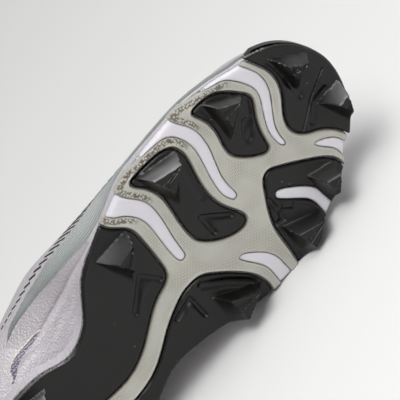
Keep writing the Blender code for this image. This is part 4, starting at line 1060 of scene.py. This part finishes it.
# White coated leather: a fine pebbled grain under a thin satin coat, cool white, with fine knit over
# the arch and a pale green-grey welded strip that has nine lengthwise ribs. A woven insert of
# lavender and dark yarn 1 mm wide starts at the end of the fold, under a beige piping.
CHART_START = 18.0
CHART_END = 30.0
KNIT_FROM = 25.1
KNIT_FADE = (28.2, 29.6)
RIB_COUNT = 9
FOLD_SHADE_REACH = 0.014
PIPE_HALF = 0.006
leather, tree, shader = new_material("coated_white_leather")
wall_map = add_node(tree, "UVMap", uv_map="wall")
split = add_node(tree, "SeparateXYZ", {"Vector": wall_map})
ring = split.outputs["Y"]
row = add_node(tree, "Math", {0: split.outputs["X"], 1: float(len(EDGE))}, operation="MULTIPLY")
along = add_node(tree, "MapRange", {"Value": row, "From Min": CHART_START, "From Max": CHART_END})
borders = {}
for border, knots in (("low", [entry[:2] for entry in STRIP]), ("high", [entry[::2] for entry in STRIP]),
                      ("fold", FOLD), ("insert", INSERT)):
    knots = [((at - CHART_START) / (CHART_END - CHART_START), (level - WRAP_RING) / (1.0 - WRAP_RING))
             for at, level in knots]
    curve = add_node(tree, "FloatCurve", {"Value": along})
    points = curve.mapping.curves[0].points
    points[0].location = (0.0, knots[0][1])
    points[1].location = (1.0, knots[-1][1])
    for at, level in knots:
        points.new(at, level)
    curve.mapping.update()
    borders[border] = curve

# Where strip, knit, fold, insert and piping are
depth = add_node(tree, "Math", {0: borders["high"], 1: borders["low"]}, operation="SUBTRACT")
level = add_node(tree, "Math", {0: ring, 1: borders["low"]}, operation="SUBTRACT")
part = add_node(tree, "Math", {0: level, 1: depth}, operation="DIVIDE")
strip = add_node(tree, "Math", {0: part, 1: 0.0}, operation="GREATER_THAN")
for value, limit, side in ((part, 1.0, "LESS_THAN"), (row, STRIP_FROM, "GREATER_THAN"),
                           (row, STRIP_TO, "LESS_THAN")):
    within = add_node(tree, "Math", {0: value, 1: limit}, operation=side)
    strip = add_node(tree, "Math", {0: strip, 1: within}, operation="MULTIPLY")
turns = add_node(tree, "Math", {0: part, 1: RIB_COUNT * 2.0 * math.pi}, operation="MULTIPLY")
ribs = add_node(tree, "Math", {0: turns}, operation="SINE")
ribs = add_node(tree, "Math", {0: ribs, 1: strip}, operation="MULTIPLY")
over_fold = add_node(tree, "Math", {0: ring, 1: borders["fold"]}, operation="GREATER_THAN")
below_strip = add_node(tree, "Math", {0: part, 1: 0.0}, operation="LESS_THAN")
past = add_node(tree, "Math", {0: row, 1: KNIT_FROM}, operation="GREATER_THAN")
fade = add_node(tree, "MapRange", {
    "Value": row, "From Min": KNIT_FADE[0], "From Max": KNIT_FADE[1], "To Min": 1.0, "To Max": 0.0})
off_fold = add_node(tree, "Math", {0: ring, 1: borders["fold"]}, operation="SUBTRACT")
off_fold = add_node(tree, "Math", {0: off_fold}, operation="ABSOLUTE")
# A dark line along the fold is painted shade in the fold's groove
fold_shade = add_node(tree, "MapRange", {
    "Value": off_fold, "From Min": 0.0, "From Max": FOLD_SHADE_REACH, "To Min": 0.55, "To Max": 0.0})
under_pipe = add_node(tree, "Math", {0: ring, 1: borders["insert"]}, operation="LESS_THAN")
off_pipe = add_node(tree, "Math", {0: ring, 1: borders["insert"]}, operation="SUBTRACT")
off_pipe = add_node(tree, "Math", {0: off_pipe}, operation="ABSOLUTE")
pipe = add_node(tree, "Math", {0: off_pipe, 1: PIPE_HALF}, operation="LESS_THAN")
begun = add_node(tree, "Math", {0: row, 1: INSERT[0][0]}, operation="GREATER_THAN")
unended = add_node(tree, "Math", {0: row, 1: INSERT[-1][0]}, operation="LESS_THAN")
window = add_node(tree, "Math", {0: begun, 1: unended}, operation="MULTIPLY")
covers = {"knit": (over_fold, below_strip, past, fade), "fold_shade": (fold_shade, past, fade),
          "woven": (over_fold, under_pipe, window), "pipe": (pipe, window)}
for cover, (share, *factors) in covers.items():
    for factor in factors:
        share = add_node(tree, "Math", {0: share, 1: factor}, operation="MULTIPLY")
    covers[cover] = share

# Colours and grain
space = add_node(tree, "TexCoord").outputs["Object"]
pebble = add_node(tree, "TexVoronoi", {"Vector": space, "Scale": 900.0})
wrinkle = add_node(tree, "TexNoise", {
    "Vector": space, "Scale": 260.0, "Detail": 4.0, "Distortion": 0.8})
cloud = add_node(tree, "TexNoise", {"Vector": space, "Scale": 45.0, "Detail": 3.0})
weave = add_node(tree, "TexBrick", {
    "Vector": space, "Color1": hex_colour("#A09DB8"), "Color2": hex_colour("#8D8AA6"),
    "Mortar": hex_colour("#555059"), "Scale": 1.0, "Mortar Size": 0.28 * MM,
    "Brick Width": 2.2 * MM, "Row Height": 1.0 * MM}, offset=0.5)
# The strip is painted darker towards its lower border as painted shade
across_strip = add_node(tree, "MapRange", {"Value": part, "From Min": 0.0, "From Max": 0.45})
strip_tone = add_node(tree, "Mix", {
    0: across_strip, 6: hex_colour("#9FA5A4"), 7: hex_colour("#BABFBE")}, data_type="RGBA")
# The troughs between the ribs are painted darker as painted shade
lines = add_node(tree, "MapRange", {
    "Value": ribs, "From Min": -1.0, "From Max": -0.35, "To Min": 0.55, "To Max": 0.0})
strip_tone = add_node(tree, "Mix", {
    0: lines, 6: strip_tone, 7: hex_colour("#7C8583")}, data_type="RGBA")
tone = add_node(tree, "Mix", {
    0: cloud, 6: hex_colour("#BAB5BA"), 7: hex_colour("#C6C2C7")}, data_type="RGBA")
for share, colour in ((covers["knit"], hex_colour("#ABA5A9")), (strip, strip_tone),
                      (covers["fold_shade"], hex_colour("#857D81")), (covers["woven"], weave),
                      (covers["pipe"], hex_colour("#D6C8BE"))):
    tone = add_node(tree, "Mix", {0: share, 6: tone, 7: colour}, data_type="RGBA")
fine = add_node(tree, "Math", {0: pebble, 1: wrinkle}, operation="ADD")
off_strip = add_node(tree, "Math", {0: 1.0, 1: strip}, operation="SUBTRACT")
fine = add_node(tree, "Math", {0: fine, 1: off_strip}, operation="MULTIPLY")
raised = add_node(tree, "Math", {0: ribs, 1: fine}, operation="ADD")
bump = add_node(tree, "Bump", {"Height": raised, "Strength": 0.9, "Distance": 0.4 * MM})
set_inputs(tree, shader, {"Base Color": tone, "Normal": bump, "Roughness": 0.45})
upper.data.materials.append(leather)
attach(upper, "root")
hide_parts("upper")


# Dashes
# A row of short black strokes welded on above the ribbed strip, closest and longest at the waist
# and finer towards both ends.
DASH_FIRST = 23.05
DASH_LAST = 27.75
DASH_COUNT = 24
DASH_WIDTH = 0.0015
DASH_RISE = 0.0002
DASH_LEAN = 0.13
# Columns: position, ring of the lower end, ring of the upper end
DASH_ENDS = ((23.0, 0.22, 0.15), (23.7, 0.34, 0.27), (24.2, 0.44, 0.255), (24.8, 0.39, 0.24),
             (25.4, 0.375, 0.27), (25.8, 0.39, 0.31), (26.2, 0.46, 0.38), (26.7, 0.56, 0.50),
             (27.2, 0.61, 0.58), (27.8, 0.64, 0.63))


def pillow(name, middle, thickness, chart_name="cloth"):
    """Closed piece of a thickness round a middle sheet, thinned to nothing at its borders."""
    normals = sheet_normals(middle)
    front = middle + normals * thickness[:, :, None] / 2.0
    back = middle - normals * thickness[:, :, None] / 2.0
    rows, columns = middle.shape[:2]
    points = np.concatenate([front, back[:, -2::-1]], axis=1)
    across = np.concatenate([np.linspace(0.0, 1.0, columns), np.linspace(1.0, 0.0, columns)[1:]])
    shares = np.stack([np.repeat(across[None, :], rows, axis=0),
                       np.repeat(np.linspace(0.0, 1.0, rows)[:, None], len(across), axis=1)], axis=2)
    return laid_grid(name, points, chart_name, shares)


def rounded(count, power):
    """Thickness profile across a piece: full in the middle and 0 at both ends."""
    spread = np.linspace(-1.0, 1.0, count)
    return (1.0 - np.abs(spread) ** power) ** 0.5


def joined(pieces, name):
    """One object of several pieces."""
    bpy.ops.object.select_all(action="DESELECT")
    for piece in pieces:
        piece.select_set(True)
    bpy.context.view_layer.objects.active = pieces[0]
    bpy.ops.object.join()
    pieces[0].name = pieces[0].data.name = name
    return pieces[0]


dash_table = np.array(DASH_ENDS)
strokes = []
for number, position in enumerate(np.linspace(DASH_FIRST, DASH_LAST, DASH_COUNT)):
    low = np.interp(position, dash_table[:, 0], dash_table[:, 1])
    high = np.interp(position, dash_table[:, 0], dash_table[:, 2])
    ends = np.array([wall_point(position, low), wall_point(position - DASH_LEAN, high)])
    across = np.cross(ends[1] - ends[0], wall_normal(position, 0.5 * (low + high)))
    across /= np.linalg.norm(across)
    width = DASH_WIDTH * (0.55 + 0.45 * math.sin(math.pi * (number + 0.5) / DASH_COUNT))
    sheet = []
    for step in np.linspace(0.0, 1.0, 9):
        ring = low + (high - low) * step
        spot = wall_point(position - DASH_LEAN * step, ring)
        spot = spot + wall_normal(position - DASH_LEAN * step, ring) * 0.5 * DASH_RISE
        sheet.append([spot + across * width * side for side in (-0.5, -0.25, 0.0, 0.25, 0.5)])
    profile = rounded(9, 6.0)[:, None] * rounded(5, 4.0)[None, :]
    strokes.append(pillow("dash_%d" % number, np.array(sheet), 2.0 * DASH_RISE * profile))
dashes = joined(strokes, "welded_dashes")

# Black transfer film: flat, smooth and almost matt
film, tree, shader = new_material("black_transfer_film")
space = add_node(tree, "TexCoord").outputs["Object"]
speckle = add_node(tree, "TexNoise", {"Vector": space, "Scale": 1500.0})
tone = add_node(tree, "Mix", {
    0: speckle, 6: hex_colour("#040404"), 7: hex_colour("#0C0C0C")}, data_type="RGBA")
set_inputs(tree, shader, {"Base Color": tone, "Roughness": 0.60})
dashes.data.materials.append(film)
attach(dashes, "root")
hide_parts("upper")


# Toe bumper
# The black wall of the toe pod, turned up round the toe of the upper and glued to it. It is moulded
# with the pod, thins to its upper edge and has one shallow crease along it.
BUMPER_HEIGHT = 0.012
BUMPER_PLACES = (13.25, 18.90)


def ring_at_rise(position, rise):
    """Ring of the wall that lies a height above the sole edge."""
    low, high = 0.0, 0.6
    start = wall_point(position, 0.0)[2]
    for _ in range(24):
        middle = 0.5 * (low + high)
        if wall_point(position, middle)[2] - start < rise:
            low = middle
        else:
            high = middle
    return 0.5 * (low + high)


bumper_sheet, bumper_thickness = [], []
for position in np.linspace(*BUMPER_PLACES, 90):
    fade = 1.0 - ((position - 0.5 * sum(BUMPER_PLACES)) / (0.5 * np.ptp(BUMPER_PLACES))) ** 2
    top = ring_at_rise(position, BUMPER_HEIGHT * (0.15 + 0.85 * fade))
    lines = np.concatenate([np.linspace(0.75 * WRAP_RING, 0.0, 6, endpoint=False), np.linspace(0.0, top, 18)])
    points = wall_line(position, lines)
    tilts = np.array([wall_normal(position, max(ring, 0.02)) for ring in lines])
    up_share = np.linspace(0.0, 1.0, len(lines))
    full = BUMPER_THICKNESS * (1.0 - 0.4 * smooth((up_share - 0.3) / 0.7)) * min(1.0, 6.0 * fade)
    full = full * (1.0 - 0.35 * np.exp(-((up_share - 0.32) / 0.05) ** 2))
    full = full * rounded(2 * len(lines) - 1, 12.0)[len(lines) - 1:]
    bumper_sheet.append(points + tilts * (GAP + 0.5 * full)[:, None])
    bumper_thickness.append(full)
bumper = pillow("toe_bumper", np.array(bumper_sheet).transpose(1, 0, 2), np.array(bumper_thickness).T, "plan")
bumper.data.materials.append(black)
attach(bumper, "root")
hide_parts("toe_pod")


# Tongue
# A padded tongue of grey mesh under the throat, sewn in at its front end and standing up past the
# top of the instep. Its edges are rounded over foam.
TONGUE_THICKNESS = 0.004
TONGUE_RISE = 0.034
TONGUE_SHARES = (0.685, 0.450)


def rim_position(share, side):
    """Position round the shoe whose rim lies at a share of the length, on one side."""
    front = float(EDGE_NAMES.index("toe_front"))
    far = float(EDGE_NAMES.index("forewaist_lateral" if side > 0 else "forewaist_medial"))
    low, high = far, front
    for _ in range(30):
        middle = 0.5 * (low + high)
        if round_curve(UPPER_ROWS, middle)[0] < share:
            low = middle
        else:
            high = middle
    return 0.5 * (low + high)


def throat_section(share, rings_up, sinks, crown):
    """Points from the lateral to the medial side across the throat, sunk below the surface."""
    halves = []
    for side in (1, -1):
        position = rim_position(share, side)
        halves.append(np.array([wall_point(position, ring) - wall_normal(position, ring) * sink
                                for ring, sink in zip(rings_up, sinks)]))
    lateral, medial = halves
    parts = np.linspace(0.0, 1.0, 13)[1:-1, None]
    bridge = lateral[-1] + (medial[-1] - lateral[-1]) * parts
    bridge[:, 2:] += crown * 4.0 * parts * (1.0 - parts)
    return np.concatenate([lateral, bridge, medial[::-1]])


tongue_rings = np.linspace(0.80, 1.0, 8)
tongue_sinks = np.full(8, UPPER_WALL + 2.0 * GAP + 0.5 * TONGUE_THICKNESS)
sections = [throat_section(share, tongue_rings, tongue_sinks, 0.02 * BALL_WIDTH)
            for share in np.linspace(*TONGUE_SHARES, 22)]
run = sections[-1].mean(axis=0) - sections[-5].mean(axis=0)
run /= np.linalg.norm(run)
top_section = sections[-1]
middle_spot = top_section.mean(axis=0)
for reach in np.linspace(0.0, 1.0, 13)[1:]:
    tilt = np.interp(reach, (0.0, 0.2, 0.6, 1.0), (0.05, 0.10, 0.25, 0.40))
    narrow = np.interp(reach, (0.0, 0.2, 0.6, 1.0), (1.0, 0.78, 0.68, 0.66))
    shift = (run + np.array([0.0, 0.0, tilt])) * TONGUE_RISE * reach
    sections.append(middle_spot + (top_section - middle_spot) * (1.0, narrow, 1.0) + shift)
tongue_sheet = np.array(sections)
profile = rounded(tongue_sheet.shape[0], 14.0)[:, None] * rounded(tongue_sheet.shape[1], 8.0)[None, :]
tongue = pillow("padded_tongue", tongue_sheet, TONGUE_THICKNESS * profile)

# Grey spacer mesh: matt, with small staggered holes about 1.6 mm apart, painted dark as painted shade
mesh_cloth, tree, shader = new_material("grey_spacer_mesh")
space = add_node(tree, "TexCoord").outputs["Object"]
holes = add_node(tree, "TexVoronoi", {"Vector": space, "Scale": 620.0, "Randomness": 0.25})
open_part = add_node(tree, "MapRange", {"Value": holes, "From Min": 0.25, "From Max": 0.45})
# The holes are painted dark grey as painted shade
tone = add_node(tree, "Mix", {
    0: open_part, 6: hex_colour("#77757B"), 7: hex_colour("#C2BFC5")}, data_type="RGBA")
bump = add_node(tree, "Bump", {"Height": open_part, "Strength": 0.7, "Distance": 0.3 * MM})
set_inputs(tree, shader, {
    "Base Color": tone, "Normal": bump, "Roughness": 0.85, "Sheen Weight": 0.15})
tongue.data.materials.append(mesh_cloth)
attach(tongue, "root")
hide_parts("tongue")


# Insole
# A thin foam sock under dark brushed knit, laid loose on the turned-in margin of the upper.
INSOLE_THICKNESS = 0.004
inner_edge = []
for position in places[:-1]:
    inset = 1.3 * forefoot_inset(position) + UPPER_WALL + 7.0 * GAP
    inner_edge.append(seat_point(position) - edge_normal(position) * inset)
inner_edge = np.array(inner_edge)
heel_end, toe_end = inner_edge[:, 0].argmin(), inner_edge[:, 0].argmax()
lateral_edge = inner_edge[:toe_end + 1] if heel_end == 0 else np.roll(inner_edge, -heel_end, axis=0)[
    :(toe_end - heel_end) % len(inner_edge) + 1]
medial_edge = np.roll(inner_edge, -toe_end, axis=0)[:(heel_end - toe_end) % len(inner_edge) + 1][::-1]
insole_sheet = []
for turn in np.linspace(0.0, math.pi, 90):
    x = 0.5 * (inner_edge[heel_end, 0] + inner_edge[toe_end, 0]
               - (inner_edge[toe_end, 0] - inner_edge[heel_end, 0]) * math.cos(turn))
    sides = [np.interp(x, line[:, 0], line[:, 1]) for line in (lateral_edge, medial_edge)]
    row = []
    for y in np.linspace(*sides, 31):
        row.append((x, y, deck(x, y) + 2.0 * GAP + UPPER_WALL + 0.5 * INSOLE_THICKNESS))
    insole_sheet.append(row)
insole_sheet = np.array(insole_sheet)
profile = rounded(90, 30.0)[:, None] * rounded(31, 12.0)[None, :]
insole = pillow("knit_insole", insole_sheet, INSOLE_THICKNESS * profile)

# Dark grey brushed knit: matt and slightly fuzzy
sock, tree, shader = new_material("brushed_grey_knit")
space = add_node(tree, "TexCoord").outputs["Object"]
fuzz = add_node(tree, "TexNoise", {"Vector": space, "Scale": 1200.0, "Detail": 4.0})
tone = add_node(tree, "Mix", {
    0: fuzz, 6: hex_colour("#4C4C50"), 7: hex_colour("#6E6E73")}, data_type="RGBA")
bump = add_node(tree, "Bump", {"Height": fuzz, "Strength": 0.6, "Distance": 0.3 * MM})
set_inputs(tree, shader, {
    "Base Color": tone, "Normal": bump, "Roughness": 0.9, "Sheen Weight": 0.3})
insole.data.materials.append(sock)
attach(insole, "root")
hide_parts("insole")


# Laces and eyelets
# Flat woven lace, drawn across the throat in six bars that go down into punched eyelets on both
# sides. The eyelets have thin pressed rings.
LACE_BARS = 6
LACE_ALONG = (0.660, 0.455)
LACE_WIDTH = 0.007
LACE_THICKNESS = 0.0014
BAR_GAP = 0.0006
EYELET_RING = 0.905
EYELET_RADIUS = 0.0026
EYELET_WIRE = 0.45 * MM

# White polyester braid: a fine herringbone weave with a soft sheen
braid, tree, shader = new_material("white_woven_braid")
cloth = add_node(tree, "UVMap", uv_map="cloth")
scaled = add_node(tree, "Mapping", {
    "Vector": cloth, "Rotation": (0.0, 0.0, math.radians(40.0)), "Scale": (60.0, 14.0, 1.0)})
threads = add_node(tree, "TexChecker", {"Vector": scaled, "Scale": 1.0}).outputs["Fac"]
tone = add_node(tree, "Mix", {
    0: threads, 6: hex_colour("#CFCDD3"), 7: hex_colour("#E4E2E7")}, data_type="RGBA")
bump = add_node(tree, "Bump", {"Height": threads, "Strength": 0.5, "Distance": 0.15 * MM})
set_inputs(tree, shader, {
    "Base Color": tone, "Normal": bump, "Roughness": 0.75, "Sheen Weight": 0.2})

eyelets = []
lace_rings = np.linspace(EYELET_RING - 0.012, 1.0, 8)
lace_sinks = -(BAR_GAP + 0.5 * LACE_THICKNESS) + 2.2 * MM * (1.0 - smooth(np.arange(8) / 3.0))
for bar in range(LACE_BARS):
    share = LACE_ALONG[0] + (LACE_ALONG[1] - LACE_ALONG[0]) * bar / (LACE_BARS - 1)
    ribbon = np.array([throat_section(share + side * LACE_WIDTH / LENGTH, lace_rings, lace_sinks,
                                      0.03 * BALL_WIDTH) for side in np.linspace(-0.5, 0.5, 9)])
    profile = rounded(9, 5.0)[:, None] * rounded(ribbon.shape[1], 20.0)[None, :]
    lace = pillow("lace_across_%d" % (bar + 1), ribbon, LACE_THICKNESS * profile)
    lace.data.materials.append(braid)
    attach(lace, "root")
    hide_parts("lace_bar_%d" % (bar + 1))
    for side in (1, -1):
        position = rim_position(share, side)
        normal = wall_normal(position, EYELET_RING)
        spot = wall_point(position, EYELET_RING) + normal * EYESTAY_RISE
        facing = (lying.to_3x3() @ Vector(normal)).to_track_quat("Z", "Y").to_euler()
        bpy.ops.mesh.primitive_torus_add(
            major_segments=28, minor_segments=10, major_radius=EYELET_RADIUS, minor_radius=EYELET_WIRE,
            location=laid(spot[None])[0], rotation=facing)
        bpy.ops.object.transform_apply(location=True, rotation=True, scale=True)
        bpy.ops.object.shade_smooth()
        eyelets.append(bpy.context.object)
eyelet_rings = joined(eyelets, "eyelet_rings")
eyelet_rings.data.materials.append(film)
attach(eyelet_rings, "root")
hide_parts("upper")


# Floor and light
# A plain pale floor that fills the picture. Broad lamps shine from the picture's upper left and from
# beside the camera, one above gives gloss alone, and the room is even and pale.
bpy.ops.mesh.primitive_plane_add(size=12.0, location=(0.0, 0.0, -0.0002))
floor = bpy.context.object
floor.name = "floor"
pale, tree, shader = new_material("pale_floor")
set_inputs(tree, shader, {"Base Color": hex_colour("#F4F4F3"), "Roughness": 0.9})
floor.data.materials.append(pale)


def soft_light(name, steps, size, power):
    """Round lamp aimed at the shoe, placed by steps right, up and out from the picture's middle."""
    spot = centre + right * steps[0] + above * steps[1] + toward * steps[2]
    lamp = bpy.data.lights.new(name, "AREA")
    lamp.shape = "DISK"
    lamp.size = size
    lamp.energy = power
    thing = bpy.data.objects.new(name, lamp)
    bpy.context.scene.collection.objects.link(thing)
    thing.location = lying @ spot
    thing.rotation_euler = (lying @ centre - lying @ spot).to_track_quat("-Z", "Y").to_euler()
    return thing


soft_light("key_light", (-0.84, 0.84, 0.60), 0.8, 5.5)
soft_light("front_light", (-0.45, 0.55, 1.10), 0.8, 8.0)
gloss_light = soft_light("gloss_light", (-0.32, 1.08, 0.14), 1.2, 32.0)
gloss_light.visible_diffuse = False
world = bpy.data.worlds.new("pale_room")
world.use_nodes = True
world.node_tree.nodes["Background"].inputs["Color"].default_value = (1.0, 1.0, 1.0, 1.0)
world.node_tree.nodes["Background"].inputs["Strength"].default_value = 0.36
bpy.context.scene.world = world
bpy.context.scene.view_settings.view_transform = "Standard"
